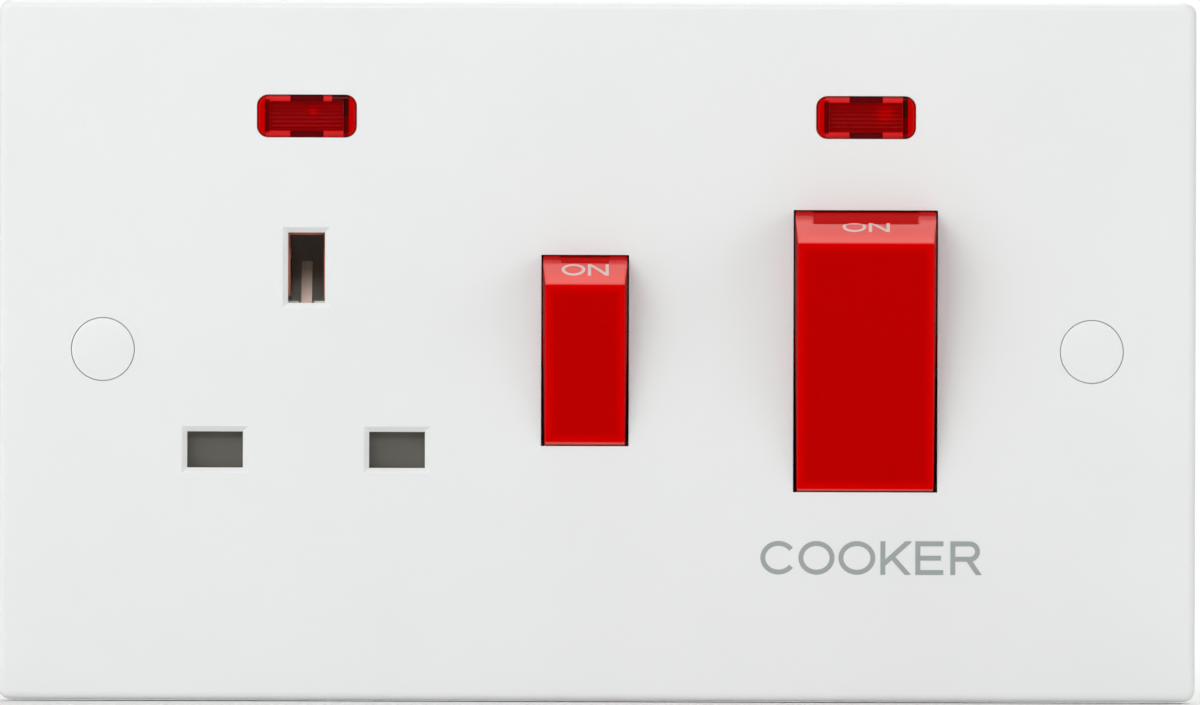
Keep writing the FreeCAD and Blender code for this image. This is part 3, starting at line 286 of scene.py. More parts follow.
def pressedBrass():
    # rolled brass strip, sheared and folded: a little dulled, with rolling lines along the strip, drawn
    # coarser than they are so that they show
    material, tree, coords = startMaterial("pressedBrassStrip", Metallic=1.0)
    rolled = addNode(tree, "Mapping", {"Scale": (0.06, 1.0, 1.0)}, {"Vector": coords})
    lines = addNode(tree, "TexNoise", {"Scale": perMm(0.8), "Detail": 3.0}, {"Vector": rolled})
    dull = addNode(tree, "TexNoise", {"Scale": perMm(6)}, {"Vector": coords})
    stops = [(0, "#B8924A"), (1, "#D2B06A")]
    return layFinish(material, dull, stops, wear=lines, rough=(0.26, 0.42), relief=lines, depth=0.006)


def bronzeStrip():
    # phosphor bronze strip, rolled hard for a spring: redder and darker than brass, its rolling lines
    # drawn coarser than they are so that they show
    material, tree, coords = startMaterial("rolledPhosphorBronze", Metallic=1.0)
    rolled = addNode(tree, "Mapping", {"Scale": (1.0, 0.06, 1.0)}, {"Vector": coords})
    lines = addNode(tree, "TexNoise", {"Scale": perMm(0.8), "Detail": 3.0}, {"Vector": rolled})
    dull = addNode(tree, "TexNoise", {"Scale": perMm(5)}, {"Vector": coords})
    stops = [(0, "#CC7058"), (1, "#E8967E")]
    return layFinish(material, dull, stops, wear=lines, rough=(0.28, 0.44), relief=lines, depth=0.006)


def milledBrass():
    # extruded brass bar, sawn and drilled: cutter marks across the block, brighter than the strip
    material, tree, coords = startMaterial("milledBrassBar", Metallic=1.0)
    cut = addNode(tree, "Mapping", {"Scale": (1.0, 1.0, 0.08)}, {"Vector": coords})
    marks = addNode(tree, "TexNoise", {"Scale": perMm(0.9)}, {"Vector": cut})
    dull = addNode(tree, "TexNoise", {"Scale": perMm(5)}, {"Vector": coords})
    stops = [(0, "#C09A52"), (1, "#DCBC78")]
    return layFinish(material, dull, stops, wear=marks, rough=(0.32, 0.48), relief=marks, depth=0.005)


def zincSteel():
    # turned steel, zinc plated: pale grey with a soft bloom
    material, tree, coords = startMaterial("zincPlatedSteel", Metallic=1.0)
    bloom = addNode(tree, "TexNoise", {"Scale": perMm(2.2), "Detail": 3.0}, {"Vector": coords})
    grain = addNode(tree, "TexNoise", {"Scale": perMm(0.5)}, {"Vector": coords})
    stops = [(0, "#A9ADB0"), (1, "#CDD1D2")]
    return layFinish(material, bloom, stops, wear=bloom, rough=(0.28, 0.46), relief=grain, depth=0.006)


def springSteel():
    # hard-drawn wire: grey, with faint draw marks
    material, tree, coords = startMaterial("drawnSpringSteel", Metallic=1.0)
    marks = addNode(tree, "TexNoise", {"Scale": perMm(0.6), "Detail": 3.0}, {"Vector": coords})
    stops = [(0, "#8E9092"), (1, "#B4B6B7")]
    return layFinish(material, marks, stops, wear=marks, rough=(0.25, 0.4))


def lampGlass():
    # soft glass drawn to a small tube: clear, with a faint warm cast from the gas and electrodes
    material, tree, coords = startMaterial(
        "drawnLampGlass", IOR=1.5, Roughness=0.05, Transmission_Weight=0.6)
    haze = addNode(tree, "TexNoise", {"Scale": perMm(3)}, {"Vector": coords})
    return layFinish(material, haze, [(0, "#E2C8B4"), (1, "#F0DCCB")])


def printedInk(name, first, second):
    # pad-printed ink: thin and matt, a touch uneven, so white lets a little of the red through
    material, tree, coords = startMaterial(name, IOR=1.5)
    patch = addNode(tree, "TexNoise", {"Scale": perMm(0.7), "Detail": 3.0}, {"Vector": coords})
    return layFinish(material, patch, [(0, first), (1, second)], wear=patch, rough=(0.45, 0.6))


finishes = {
    "white": whiteUrea(),
    "ivory": ivoryUrea(),
    "red": redPolycarbonate(),
    "lens": redLens(),
    "shutter": greyNylon(),
    "nylon": naturalNylon(),
    "strip": pressedBrass(),
    "bronze": bronzeStrip(),
    "bar": milledBrass(),
    "screw": zincSteel(),
    "spring": springSteel(),
    "glass": lampGlass(),
    "paleInk": printedInk("thinWhiteInk", "#D8BCB8", "#E0C6C2"),
    "greyInk": printedInk("midGreyInk", "#9CA4A1", "#A2AAA7"),
}
dressed = {
    "white": ["front_plate", "left_screw_cap", "right_screw_cap"],
    "ivory": ["base_moulding"],
    "red": ["cooker_rocker", "socket_rocker"],
    "lens": ["cooker_neon_lens", "socket_neon_lens"],
    "shutter": ["socket_shutter"],
    "nylon": ["cooker_live_plunger", "cooker_neutral_plunger", "socket_plunger"],
    "strip": ["cooker_live_contact", "cooker_neutral_contact", "socket_switch_contact", "live_link",
              "live_contact", "neutral_contact"],
    "bronze": ["earth_contact"],
    "bar": ["supply_live_terminal", "supply_neutral_terminal", "load_live_terminal", "load_neutral_terminal",
            "earth_terminal"],
    "screw": ["cooker_terminal_screws", "earth_terminal_screws", "base_screws"],
    "spring": ["cooker_live_plunger_spring", "cooker_neutral_plunger_spring", "socket_plunger_spring",
               "shutter_spring"],
    "glass": ["cooker_neon_lamp", "socket_neon_lamp"],
}
for finish, names in dressed.items():
    for name in names:
        nodes[name].data.materials.clear()
        nodes[name].data.materials.append(finishes[finish])
print("finishes on", sum(len(names) for names in dressed.values()), "nodes")


# Rockers: a hollow shell swept about the pivot, with rolled edges, spring posts and pivot pins

# millimetres, with the word's angle in degrees
rockers = {
    "cooker": {
        "node": "cooker_rocker", "body": "cooker_switch", "joint": "cooker_rocker_tilt",
        "radius": 17.55, "face": 8.32, "skirt": 4.0, "posts": (-4.5, 4.5),
        "wordAngle": 59.6, "wordHeight": 2.3,
    },
    "socket": {
        "node": "socket_rocker", "body": "socket_switch", "joint": "socket_rocker_tilt",
        "radius": 12.09, "face": 6.87, "skirt": 3.8, "posts": (0.0,),
        "wordAngle": 54.6, "wordHeight": 2.4,
    },
}
# millimetres, with the relief's start in degrees and the dip, where the ends get painted shade, in radii
rockerMaking = {
    "edge": 0.3, "innerEdge": 0.2, "faceWall": 2.0, "sideWall": 1.5,
    "draft": 0.25, "draftStart": 3.4, "rim": 1.5,
    "relief": 0.12, "reliefStart": 74.5, "reliefSide": 2.0, "reliefSoft": 0.3,
    "dipStart": 0.21, "dipEnd": 0.05,
    "pin": 4.0, "pinLength": 2.0, "pinChamfer": 0.3,
    "post": 6.0, "postBore": 3.32, "postReach": 7.5, "postFloor": -4.1,
    "skinStart": 0.6, "skinEnd": 0.4, "foldBlur": 0.1,
    "arcSteps": 85, "innerSteps": 28, "faceSteps": 45, "acrossSteps": 81, "rollSteps": 7, "pinSides": 40,
}


def rockerPlace(size):
    # half width between the pins, pivot in metres, and the tilt at rest, which is half of the travel
    low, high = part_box(size["node"])
    joint = joints[size["joint"]]
    half = (high.x - low.x) / mm / 2 - rockerMaking["pinLength"]
    return half, np.array(joint["pos_m"]), -math.radians(joint["range_deg"][0]) / 2


def reliefShare(size, half, lean, across):
    # 1 in the shallow relief across each end, past its starting angle and in from its sides, else 0
    making = rockerMaking
    past = (np.abs(lean) - math.radians(making["reliefStart"])) * size["radius"]
    inside = half - making["reliefSide"] - np.abs(across)
    return ease(past, 0, making["reliefSoft"]) * ease(inside, 0, making["reliefSoft"])


def draftShare(size, depth):
    # 0 behind the start of the draft, growing evenly to 1 at the face
    start = rockerMaking["draftStart"]
    return np.clip((-depth - start) / (size["face"] - start), 0, 1)


def rockerSheets(size, half, wall, sideWall, edge, arcSteps, relief):
    # the section is two arcs about the pivot joined by the flat face, all taken in by the edge radius;
    # a ball of that radius rolled over it gives the outer skin, and flat cheeks close the two sides
    making = rockerMaking
    radius = size["radius"] - wall - edge
    face = size["face"] - wall - edge
    rear = np.pi - np.arccos(size["skirt"] / radius)
    front = np.arccos(face / radius)
    arc = np.linspace(rear, front, arcSteps)
    rolls, acrossSteps = making["rollSteps"], making["acrossSteps"]
    corner = np.linspace(front, 0, rolls)
    steps = np.cos(np.linspace(0, np.pi, making["faceSteps"]))
    arcBase = radius * np.stack([-np.cos(arc), np.sin(arc)], axis=-1)
    faceBase = np.stack([np.full_like(steps, -face), steps * arcBase[-1, 1]], axis=-1)
    flip = np.array([1, -1])
    base = np.concatenate([
        arcBase, np.repeat(arcBase[-1:], rolls, axis=0), faceBase,
        np.repeat(arcBase[-1:] * flip, rolls, axis=0), arcBase[::-1] * flip,
    ])
    lean = np.concatenate([arc, corner, np.zeros_like(steps), -corner[::-1], -arc[::-1]])
    quarter = np.linspace(0, np.pi / 2, rolls)
    roll = np.concatenate([-quarter[::-1], np.zeros(acrossSteps), quarter])
    middle = -np.cos(np.linspace(0, np.pi, acrossSteps))
    share = np.concatenate([np.full(rolls, -1), middle, np.full(rolls, 1)])

    def reach(y):
        # half width, drawn in towards the face so that the moulding leaves its tool
        return half - sideWall - edge - making["draft"] * draftShare(size, y)

    across = share * reach(base[:, :1]) + edge * np.sin(roll)
    lift = edge * np.cos(roll) - relief * reliefShare(size, half, lean[:, None], across)
    depth = base[:, :1] - np.cos(lean)[:, None] * lift
    height = base[:, 1:] + np.sin(lean)[:, None] * lift
    skin = np.stack([across, np.minimum(depth, size["skirt"]), height], axis=-1)
    cheeks = []
    for side in (-1, 1):
        y = np.broadcast_to(arcBase[:, :1], (arcSteps, len(steps)))
        cheek = np.stack([side * (reach(y) + edge), y, arcBase[:, 1:] * steps], axis=-1)
        cheeks.append(cheek)
    return [skin] + cheeks


def rearLoop(sheets):
    # the open rear edge, walked once round through the skin and the two cheeks
    skin, left, right = sheets
    return np.concatenate([skin[0], right[0], skin[-1][::-1], left[0][::-1], skin[0][:1]])


def squareRing():
    # corners of a unit square
    return np.array([(-0.5, -0.5), (0.5, -0.5), (0.5, 0.5), (-0.5, 0.5)])


def buildRocker(size):
    # outer and inner walls joined by the rear rim, square posts with a bore and turned pins,
    # all made upright about the pivot and then tilted to the rest angle
    making = rockerMaking
    half, pivot, tilt = rockerPlace(size)
    outer = rockerSheets(size, half, 0.0, 0.0, making["edge"], making["arcSteps"], making["relief"])
    walls = making["faceWall"], making["sideWall"]
    inner = rockerSheets(size, half, *walls, making["innerEdge"], making["innerSteps"], 0.0)
    sheets = outer + inner + [np.stack([rearLoop(outer), rearLoop(inner)])]
    for x in size["posts"]:
        tip, floor = making["postReach"], making["postFloor"]
        root = making["faceWall"] / 2 - size["face"]
        profile = [
            (0, root), (making["post"], root), (making["post"], tip), (making["postBore"], tip),
            (making["postBore"], floor), (0, floor),
        ]
        tube = around(profile, squareRing())
        sheets.append(tube[..., [0, 2, 1]] + [x, 0, 0])
    for side in (-1, 1):
        start, end, cut = half - making["sideWall"] / 2, half + making["pinLength"], making["pinChamfer"]
        radius = making["pin"] / 2
        profile = [(0, start), (radius, start), (radius, end - cut), (radius - cut, end), (0, end)]
        pin = around(profile, circle(making["pinSides"]))
        sheets.append(pin[..., [2, 0, 1]] * [side, 1, 1])
    turn = np.array([
        [1, 0, 0],
        [0, math.cos(tilt), -math.sin(tilt)],
        [0, math.sin(tilt), math.cos(tilt)],
    ])
    placed = [sheet @ turn.T * mm + pivot for sheet in sheets]
    piece = makePiece(size["node"] + "_shell", placed, finishes["red"], size["body"])
    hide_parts(size["node"])
    plateDepth = (pivot[1] - plateLow.y) / mm
    local = (readPoints(piece) - pivot) / mm @ turn
    # the shell's painted light and shade, which the red finish turns into colour
    paint(piece, "shade", rockerShade(size, half, tilt, plateDepth, local))


def rockerShade(size, half, tilt, plateDepth, local):
    # quarters of the colour ramp, which carry painted light and shade: 0 is painted shade on the cheeks, 1/4
    # painted shade in the relief, 2/4 the face's own red, 3/4 a painted highlight at the face's corners and
    # 1 a painted highlight on the ends, which lie past the fold and close to the full radius; an end falls
    # back to the painted shade of 1/4 where it dips into the plate, by how many radii it stands proud there
    making = rockerMaking
    x, y, z = local.T
    fold = math.acos(size["face"] / size["radius"])
    lean = np.arctan2(np.abs(z), -y)
    edge = size["radius"] * math.sin(fold)
    inside = np.minimum(half - making["draft"] - np.abs(x), edge - np.abs(z))
    # painted highlight along the face's corners, where light would come through
    corner = (1 - ease(inside, 0, making["rim"])) * (y < making["edge"] - size["face"])
    shade = 1 / 2 + corner / 4
    skin = ease(np.hypot(y, z), size["radius"] - making["skinStart"], size["radius"] - making["skinEnd"])
    # painted highlight on the ends, for the light from above falling on them
    past = ease((lean - fold) * size["radius"], -making["foldBlur"], making["foldBlur"])
    shade = shade + (1 - shade) * skin * past
    # painted shade on each end where it dips into the plate, and in the relief
    proud = np.cos(lean - tilt) - plateDepth / size["radius"]
    dipShade = 1 - ease(proud, making["dipEnd"], making["dipStart"])
    shade = shade + (1 / 4 - shade) * skin * np.maximum(dipShade, reliefShare(size, half, lean, x))
    # painted shade on the cheeks
    limit = half - making["draft"] * draftShare(size, y)
    return shade * (1 - ease(np.abs(x), limit - making["edge"] / 3, limit))


for size in rockers.values():
    buildRocker(size)
print("rockers made")


# Words, printed in plain strokes: ON on the end of each rocker that stands proud, COOKER on the plate

inkFilm, inkStep, sameSpot = 0.02, 0.003, 1e-9  # millimetres
lineSteps, bowlSteps, ovalSteps = 40, 6, 73
# millimetres, each letter with its left edge and its width
onWord = {
    "letters": [("O", -2.88, 2.9), ("N", 0.32, 2.56)],
    "stroke": 0.4,
}
plateWord = {
    "letters": [
        ("C", -13.54, 4.4), ("O", -8.9, 4.4), ("O", -4.02, 4.5), ("K", 1.1, 3.78), ("E", 5.37, 3.41),
        ("R", 9.63, 3.9),
    ],
    "stroke": 0.6, "height": 4.1, "x": 33.5, "z": -25.2,
}
# shares of a letter's width and height, those of the leg's end in strokes, the mouth in degrees
letterShares = {
    "mouth": 36, "bar": 0.47, "armFoot": 0.3, "kneeLeft": 0.36, "kneeTop": 0.55, "hipLeft": 0.55,
    "legFoot": 0.7, "legTip": 0.1,
}


def line(*ends, count=lineSteps):
    # evenly spaced points on each straight run from one end to the next
    share = np.linspace(0, 1, count)[:, None]
    ends = [np.array(end) for end in ends]
    return np.concatenate([a + (b - a) * share for a, b in zip(ends, ends[1:])])


def oval(x, y, acrossRadius, upRadius, start, end):
    # points of an ellipse about (x, y) between two angles in degrees
    turn = np.radians(np.linspace(start, end, ovalSteps))
    return np.stack([x + acrossRadius * np.cos(turn), y + upRadius * np.sin(turn)], axis=-1)


def letterPaths(kind, w, h, s):
    # centre lines of the strokes, s wide, of a letter w wide and h high, from its lower left corner;
    # slanted strokes run past the letter by their own width, and are clipped to its box later
    share = letterShares
    e = s / 2
    over = s
    slant = over * w / h
    stem = line((e, 0), (e, h))
    leg = (w - share["legFoot"] * s, 0), (w - share["legTip"] * s, -over)
    bar = share["bar"] * h
    bowl = (h - e - bar) / 2
    paths = {
        "O": [oval(w / 2, h / 2, w / 2 - e, h / 2 - e, 0, 360)],
        "C": [oval(w / 2, h / 2, w / 2 - e, h / 2 - e, share["mouth"], 360 - share["mouth"])],
        "N": [stem, line((w - e, 0), (w - e, h)), line((e - slant, h + over), (w - e + slant, -over))],
        "K": [
            stem,
            line((e, share["armFoot"] * h), (w - e, h), (w - e + over, h + over)),
            line((share["kneeLeft"] * w, share["kneeTop"] * h), *leg),
        ],
        "E": [stem, line((0, e), (w, e)), line((0, h / 2), (w - e, h / 2)), line((0, h - e), (w, h - e))],
        "R": [
            stem,
            np.concatenate([
                line((e, h - e), (w - bowl - s, h - e), count=bowlSteps),
                oval(w - bowl - s, h - e - bowl, bowl, bowl, 90, -90),
                line((w - bowl - s, bar), (e, bar), count=bowlSteps),
            ]),
            line((share["hipLeft"] * w, bar), *leg),
        ],
    }
    return paths[kind]


def ribbon(path, width):
    # a band of even width along a line: points that repeat are dropped, and each of the others moves
    # half the width to either side of its way on
    steps = np.diff(path, axis=0)
    path = path[np.concatenate([[True], np.hypot(*steps.T) > sameSpot])]
    onward = np.gradient(path, axis=0)
    onward = onward / np.hypot(*onward.T)[:, None]
    aside = np.stack([-onward[:, 1], onward[:, 0]], axis=-1) * width / 2
    return np.stack([path + aside, path - aside], axis=1)


def wordBands(word, height):
    # every stroke as a band, clipped to its letter's box and set about the word's middle line
    bands = []
    for kind, left, width in word["letters"]:
        for path in letterPaths(kind, width, height, word["stroke"]):
            band = np.clip(ribbon(path, word["stroke"]), 0, [width, height])
            bands.append(band + [left, -height / 2])
    return bands


def inkSheets(bands, wrap):
    # each band becomes a closed film, a hair thicker than the one before it, so that no two faces
    # fall together
    sheets = []
    for i, band in enumerate(bands):
        rise = inkStep * i
        section = [(0, -rise), (0, inkFilm + rise), (1, inkFilm + rise), (1, -rise), (0, -rise)]
        film = np.stack([wrap(band[:, side], height) for side, height in section], axis=1)
        ends = film[[0, -1]].mean(axis=1, keepdims=True).repeat(len(section), axis=1)
        if np.allclose(band[0], band[-1]):
            sheets.append(film * mm)
        else:
            sheets.append(np.concatenate([ends[:1], film, ends[1:]]) * mm)
    return sheets


def rockerWord(size):
    # flat (across, up) points are wrapped round the rocker's end, which is an arc about its pivot
    half, pivot, tilt = rockerPlace(size)

    def wrap(flat, height):
        angle = math.radians(size["wordAngle"]) + flat[:, 1] / size["radius"]
        sunk = rockerMaking["relief"] * reliefShare(size, half, angle + tilt, flat[:, 0])
        radius = size["radius"] + height - sunk
        bent = np.stack([flat[:, 0], -np.cos(angle) * radius, np.sin(angle) * radius], axis=-1)
        return pivot / mm + bent

    sheets = inkSheets(wordBands(onWord, size["wordHeight"]), wrap)
    makePiece(size["node"] + "_word", sheets, finishes["paleInk"], size["body"])


def plateWordPiece():
    # flat (across, up) points go straight on to the plate's front
    def wrap(flat, height):
        y = np.full(len(flat), plateLow.y / mm - height)
        return np.stack([flat[:, 0] + plateWord["x"], y, flat[:, 1] + plateWord["z"]], axis=-1)

    sheets = inkSheets(wordBands(plateWord, plateWord["height"]), wrap)
    makePiece("plate_word", sheets, finishes["greyInk"], "housing")


for size in rockers.values():
    rockerWord(size)
plateWordPiece()
print("words printed")


# Neon lenses: a moulded window with ribs across it, clip notches above and below and a groove at each end

# millimetres, with the angle of a sharp edge in degrees
lensMaking = {
    "width": 12.04, "height": 5.09, "corner": 1.32,
    "bevel": 0.4, "bevelDepth": 0.35,
    "ribField": 4.45, "ribEdge": 0.75, "ribPitch": 0.5, "ribDepth": 0.16, "fieldDepth": 0.25,
    "groove": 4.8, "grooveWidth": 0.6, "grooveDepth": 0.5, "grooveTop": 0.45,
    "notch": 4.0, "notchHeight": 0.75, "notchDepth": 0.4,
    "lip": 1.0, "soft": 0.12, "acrossSteps": 181, "upSteps": 91, "sharp": 50,
}
# shares of the colour ramp for the lens's painted light and shade, with the blurs and the rear's start in
# millimetres
lensLight = {
    "field": 0.44, "ribs": 0.5, "spot": 0.18, "ends": 0.64, "endBlur": 0.5, "bevels": 0.76,
    "leftGroove": 0.35, "rightGroove": 0.3, "shadow": 0.05, "notches": 0.22,
    "rear": 0.45, "rearStart": 0.1, "blur": 0.15,
}
# millimetres from the lens's middle: the painted glow spot where the lamp would show through, its radius,
# and where the painted shadow on the top bevel starts
lenses = {
    "cooker_neon_lens": {"spot": (2.4, 0.5), "spotRadius": 1.2, "shadeStart": 6.0},
    "socket_neon_lens": {"spot": (0.75, 0.6), "spotRadius": 0.55, "shadeStart": 3.0},
}


def buildLens(node, own):
    # depth behind the front is bevel plus ribs, or groove or notch where that is deeper;
    # the outline's loop is then carried back to the lip, widened there and closed
    size = lensMaking
    low, high, middle = boxInMm(node)
    half, tall, corner = size["width"] / 2, size["height"] / 2, size["corner"]
    across = np.linspace(-half, half, size["acrossSteps"])
    past = np.clip(np.abs(across) - (half - corner), 0, corner)
    limit = tall - corner + np.sqrt(corner ** 2 - past ** 2)
    z = np.linspace(-1, 1, size["upSteps"])[:, None] * limit
    x = np.broadcast_to(across, z.shape)
    # distance in from the rounded outline
    outX, outZ = np.abs(x) - (half - corner), np.abs(z) - (tall - corner)
    away = np.hypot(np.maximum(outX, 0), np.maximum(outZ, 0)) + np.minimum(np.maximum(outX, outZ), 0)
    inside = corner - away
    soft = size["soft"]
    bevel = 1 - ease(inside, 0, size["bevel"])
    field = ease(size["ribField"] - np.abs(x), 0, soft) * ease(tall - size["ribEdge"] - np.abs(z), 0, soft)
    ribs = 0.5 + 0.5 * np.cos(2 * np.pi * z / size["ribPitch"])
    groove = ease(size["grooveWidth"] / 2 - np.abs(np.abs(x) - size["groove"]), 0, soft)
    groove = groove * ease(inside, size["grooveTop"], size["grooveTop"] + soft)
    notch = ease(size["notch"] / 2 - np.abs(x), 0, soft)
    notch = notch * ease(np.abs(z), tall - size["notchHeight"], tall - size["notchHeight"] + soft)
    depth = bevel * size["bevelDepth"] + field * (size["fieldDepth"] + ribs * size["ribDepth"])
    depth = np.maximum(np.maximum(depth, groove * size["grooveDepth"]), notch * size["notchDepth"])
    front = np.stack([x + middle[0], low[1] + depth, z + middle[2]], axis=-1)
    edge = np.concatenate([front[0], front[:, -1], front[-1][::-1], front[::-1, 0]])
    stretch = (high - low)[[0, 2]] / [size["width"], size["height"]]

    def loop(scale, y):
        # the outline scaled about the lens's middle, flat at one depth
        ring = edge.copy()
        ring[:, 0] = middle[0] + (edge[:, 0] - middle[0]) * scale[0]
        ring[:, 2] = middle[2] + (edge[:, 2] - middle[2]) * scale[1]
        ring[:, 1] = y
        return ring

    plain, wide, point = np.ones(2), stretch, np.zeros(2)
    rear = high[1]
    shoulder = rear - size["lip"]
    wall = np.stack([edge, loop(plain, shoulder), loop(wide, shoulder), loop(wide, rear), loop(point, rear)])
    sheets = [front * mm, wall * mm]
    piece = makePiece(node + "_window", sheets, finishes["lens"], "housing", size["sharp"])
    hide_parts(node)
    local = readPoints(piece) / mm - [middle[0], low[1], middle[2]]
    # the lens's painted light and shade, carried by the glow attribute
    paint(piece, "glow", lensGlow(*local.T, own))


def lensGlow(x, y, z, own):
    # painted light and shade of the lens: 0 is the painted dark of a hollow, 1 a painted lit edge; field and
    # ribs first, darker where deeper, then a painted glow spot, end walls, bevels, grooves and notches laid
    # over them
    size, light = lensMaking, lensLight
    tall, soft = size["height"] / 2, light["blur"]
    glow = light["field"] - light["ribs"] * (y - size["fieldDepth"])
    # painted glow, where the lamp behind would shine through
    spotX, spotZ = own["spot"]
    spot = np.exp(-((x - spotX) ** 2 + (z - spotZ) ** 2) / own["spotRadius"] ** 2)
    glow = glow + light["spot"] * spot
    # painted highlight on the end walls and the bevels
    ends = ease(np.abs(x), size["groove"], size["groove"] + light["endBlur"])
    glow = glow + (light["ends"] - glow) * ends
    bevels = ease(np.abs(z), tall - size["ribEdge"] - soft, tall - size["ribEdge"] + soft)
    glow = glow + (light["bevels"] - glow) * bevels * (1 - ends)
    # painted shade in the grooves, and a painted shadow at the top of the right one
    grooves = ease(size["grooveWidth"] / 2 - np.abs(np.abs(x) - size["groove"]), -soft / 2, soft / 2)
    right = np.where(z > 0, light["shadow"], light["rightGroove"])
    shade = np.where(x > 0, right, light["leftGroove"])
    glow = glow + (shade - glow) * grooves * (1 - bevels * (x < 0))
    # painted shadow over the top bevel's right end
    corner = ease(x, own["shadeStart"], own["shadeStart"] + soft) * bevels * (z > 0) * (1 - ends)
    glow = glow + (light["shadow"] - glow) * corner
    # painted shade in the clip notches
    notches = ease(size["notch"] / 2 - np.abs(x), -soft / 2, soft / 2) * bevels
    glow = glow + (light["notches"] - glow) * notches
    behind = y > size["grooveDepth"] + light["rearStart"]
    return np.clip(np.where(behind, light["rear"], glow), 0, 1)


for node, own in lenses.items():
    buildLens(node, own)
print("lenses made")


# Screw caps: turned discs with a rounded rim, which leave only a fine line in the plate

# millimetres
capMaking = {
    "edge": 0.2, "spread": 0.1, "top": 1.2, "skirt": 0.9, "rearEdge": 0.2, "edgeSteps": 9, "sides": 128,
}


def buildCap(node):
    # a profile of (radius, depth) points, with a quarter round at the front, turned about the cap's centre
    making = capMaking
    low, high, middle = boxInMm(node)
    front, rear = low[1], high[1]
    radius = (high[0] - low[0]) / 2 + making["spread"]
    bend = np.linspace(0, np.pi / 2, making["edgeSteps"])
    edge, cut, inner = making["edge"], making["rearEdge"], radius - making["spread"] - making["skirt"]
    rim = np.stack([radius - edge + edge * np.sin(bend), front + edge - edge * np.cos(bend)], axis=-1)
    under = front + making["top"]
    rest = [(radius, rear - cut), (radius - cut, rear), (inner, rear), (inner, under), (0, under)]
    profile = np.concatenate([[(0, front)], rim, rest])
    disc = around(profile, circle(making["sides"]))[..., [0, 2, 1]] + [middle[0], 0, middle[2]]
    piece = makePiece(node + "_disc", [disc * mm], finishes["white"], "housing")
    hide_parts(node)


for node in ("left_screw_cap", "right_screw_cap"):
    buildCap(node)
print("caps made")


# Shutter spring: a coil of round wire, wound at the length it has at rest

# millimetres
coilMaking = {
    "node": "shutter_spring", "joint": "shutter_slide",
    "wire": 0.45, "turns": 4, "turnSteps": 32, "wireSides": 12,
}


def buildCoil(making):
    # a circle of wire carried round a helix: the turn and the height grow evenly from the low end up
    low, high, middle = boxInMm(making["node"])
    length = high[2] - low[2]
    share = np.linspace(0, 1, making["turns"] * making["turnSteps"] + 1)[:, None]
    turn = 2 * np.pi * making["turns"] * share
    wire = circle(making["wireSides"])
    wire = np.vstack([wire, wire[:1]]) * making["wire"] / 2
    radius = (high[0] - low[0] - making["wire"]) / 2 + wire[:, 0]
    height = low[2] + making["wire"] / 2 + (length - making["wire"]) * share + wire[:, 1]
    coil = np.stack([middle[0] + radius * np.cos(turn), middle[1] + radius * np.sin(turn), height], axis=-1)
    ends = coil[[0, -1], :-1].mean(axis=1, keepdims=True).repeat(len(wire), axis=1)
    coil = np.concatenate([ends[:1], coil, ends[1:]])
    piece = makePiece(making["node"] + "_coil", [coil * mm], finishes["spring"], "housing")
    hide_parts(making["node"])
    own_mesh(piece)


buildCoil(coilMaking)
print("spring wound")


# Stage: pale floor, soft studio lights and the camera straight in front

# floor and lights in metres, the rest in millimetres and degrees
studio = {
    "floor": 2.2, "pixelsPerMm": 8.2, "frameWidth": 1200, "lens": 800, "sensor": 36,
    "aim": (0.33, -0.24), "roll": -0.17,
    "backdrop": 1.05, "front": 0.2, "fade": (0.3, 0.9), "floorGap": 0.2,
}
lights = {
    "key": {"place": (-0.62, -0.88, 0.6), "size": (0.9, 0.9), "power": 6.0},
    "side": {"place": (-1.1, -0.25, 0.2), "size": (0.6, 0.6), "power": 1.5},
    "overhead": {"place": (0.0, 0.02, 0.8), "size": (0.3, 0.6), "power": 2.0},
    "fill": {"place": (1.05, -0.45, 0.25), "size": (0.8, 0.8), "power": 3.1},
    "front": {"place": (-0.03, -1.35, 0.42), "size": (0.2, 0.2), "power": 2.4},
    "rear": {"place": (0.3, 1.0, 0.5), "size": (0.8, 0.8), "power": 6.0},
}


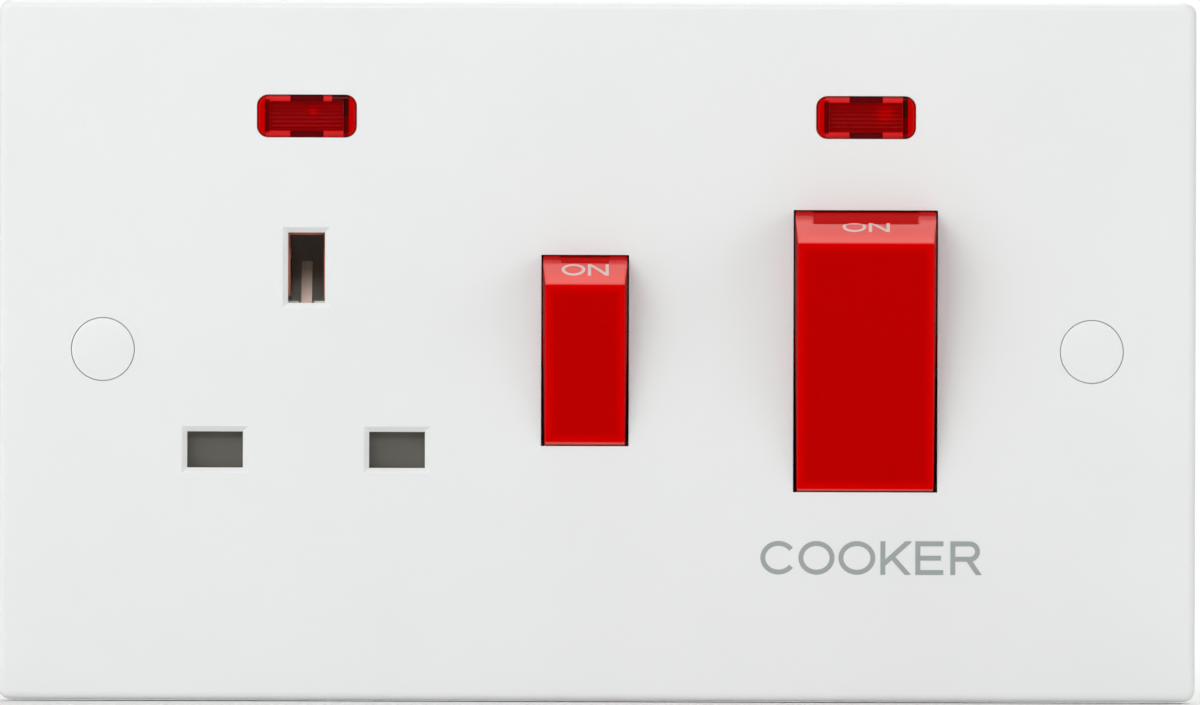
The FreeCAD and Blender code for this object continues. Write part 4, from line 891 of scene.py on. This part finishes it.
def buildFloor():
    # one wide square just under the plate's lower edge
    material, tree, coords = startMaterial("paintedFloorBoard", Roughness=0.8)
    cloud = addNode(tree, "TexNoise", {"Scale": perMm(120)}, {"Vector": coords})
    layFinish(material, cloud, [(0, "#E6E6E4"), (1, "#EAEAE8")])
    half = studio["floor"] / 2
    z = plateLow.z - studio["floorGap"] * mm
    corners = [(-half, -half, z), (half, -half, z), (half, half, z), (-half, half, z)]
    mesh = bpy.data.meshes.new("floor")
    mesh.from_pydata(corners, [], [(0, 1, 2, 3)])
    mesh.materials.append(material)
    floor = bpy.data.objects.new("floor", mesh)
    bpy.context.scene.collection.objects.link(floor)


def buildLight(name, light):
    # a glowing rectangle that faces the middle of the part
    lamp = bpy.data.lights.new(name, "AREA")
    lamp.shape = "RECTANGLE"
    lamp.size, lamp.size_y = light["size"]
    lamp.energy = light["power"]
    piece = bpy.data.objects.new(name, lamp)
    piece.location = light["place"]
    aim = (cadBox[0] + cadBox[1]) / 2 - piece.location
    piece.rotation_euler = aim.to_track_quat("-Z", "Y").to_euler()
    bpy.context.scene.collection.objects.link(piece)


def buildCamera():
    # straight in front, as far off as the long lens needs for the given pixels per millimetre
    camera = bpy.data.cameras.new("camera")
    camera.lens = studio["lens"]
    camera.sensor_width = studio["sensor"]
    width = studio["frameWidth"] / studio["pixelsPerMm"] * mm
    distance = width * studio["lens"] / studio["sensor"]
    piece = bpy.data.objects.new("camera", camera)
    piece.location = (studio["aim"][0] * mm, plateLow.y - distance, studio["aim"][1] * mm)
    piece.rotation_euler = (math.pi / 2, math.radians(studio["roll"]), 0)
    bpy.context.scene.collection.objects.link(piece)
    bpy.context.scene.camera = piece


def buildWorld():
    # a white backdrop behind the plate fades to a dark room in front of it, which the gloss reflects
    world = bpy.data.worlds.new("studio")
    world.use_nodes = True
    tree = world.node_tree
    direction = addNode(tree, "TexCoord").outputs["Generated"]
    back = addNode(tree, "SeparateXYZ", None, {"Vector": direction}).outputs["Y"]
    start, end = studio["fade"]
    limits = {"From Min": start, "From Max": end, "To Min": studio["front"], "To Max": studio["backdrop"]}
    level = addNode(tree, "MapRange", limits, {"Value": back}, interpolation_type="SMOOTHSTEP")
    sky = tree.nodes["Background"]
    sky.inputs["Color"].default_value = linear("#FFFFFF")
    tree.links.new(level.outputs["Result"], sky.inputs["Strength"])
    bpy.context.scene.world = world
    # plain sRGB, so that the red mouldings keep their full strength
    bpy.context.scene.view_settings.view_transform = "Standard"


buildFloor()
for name, light in lights.items():
    buildLight(name, light)
buildCamera()
buildWorld()
print("stage set")
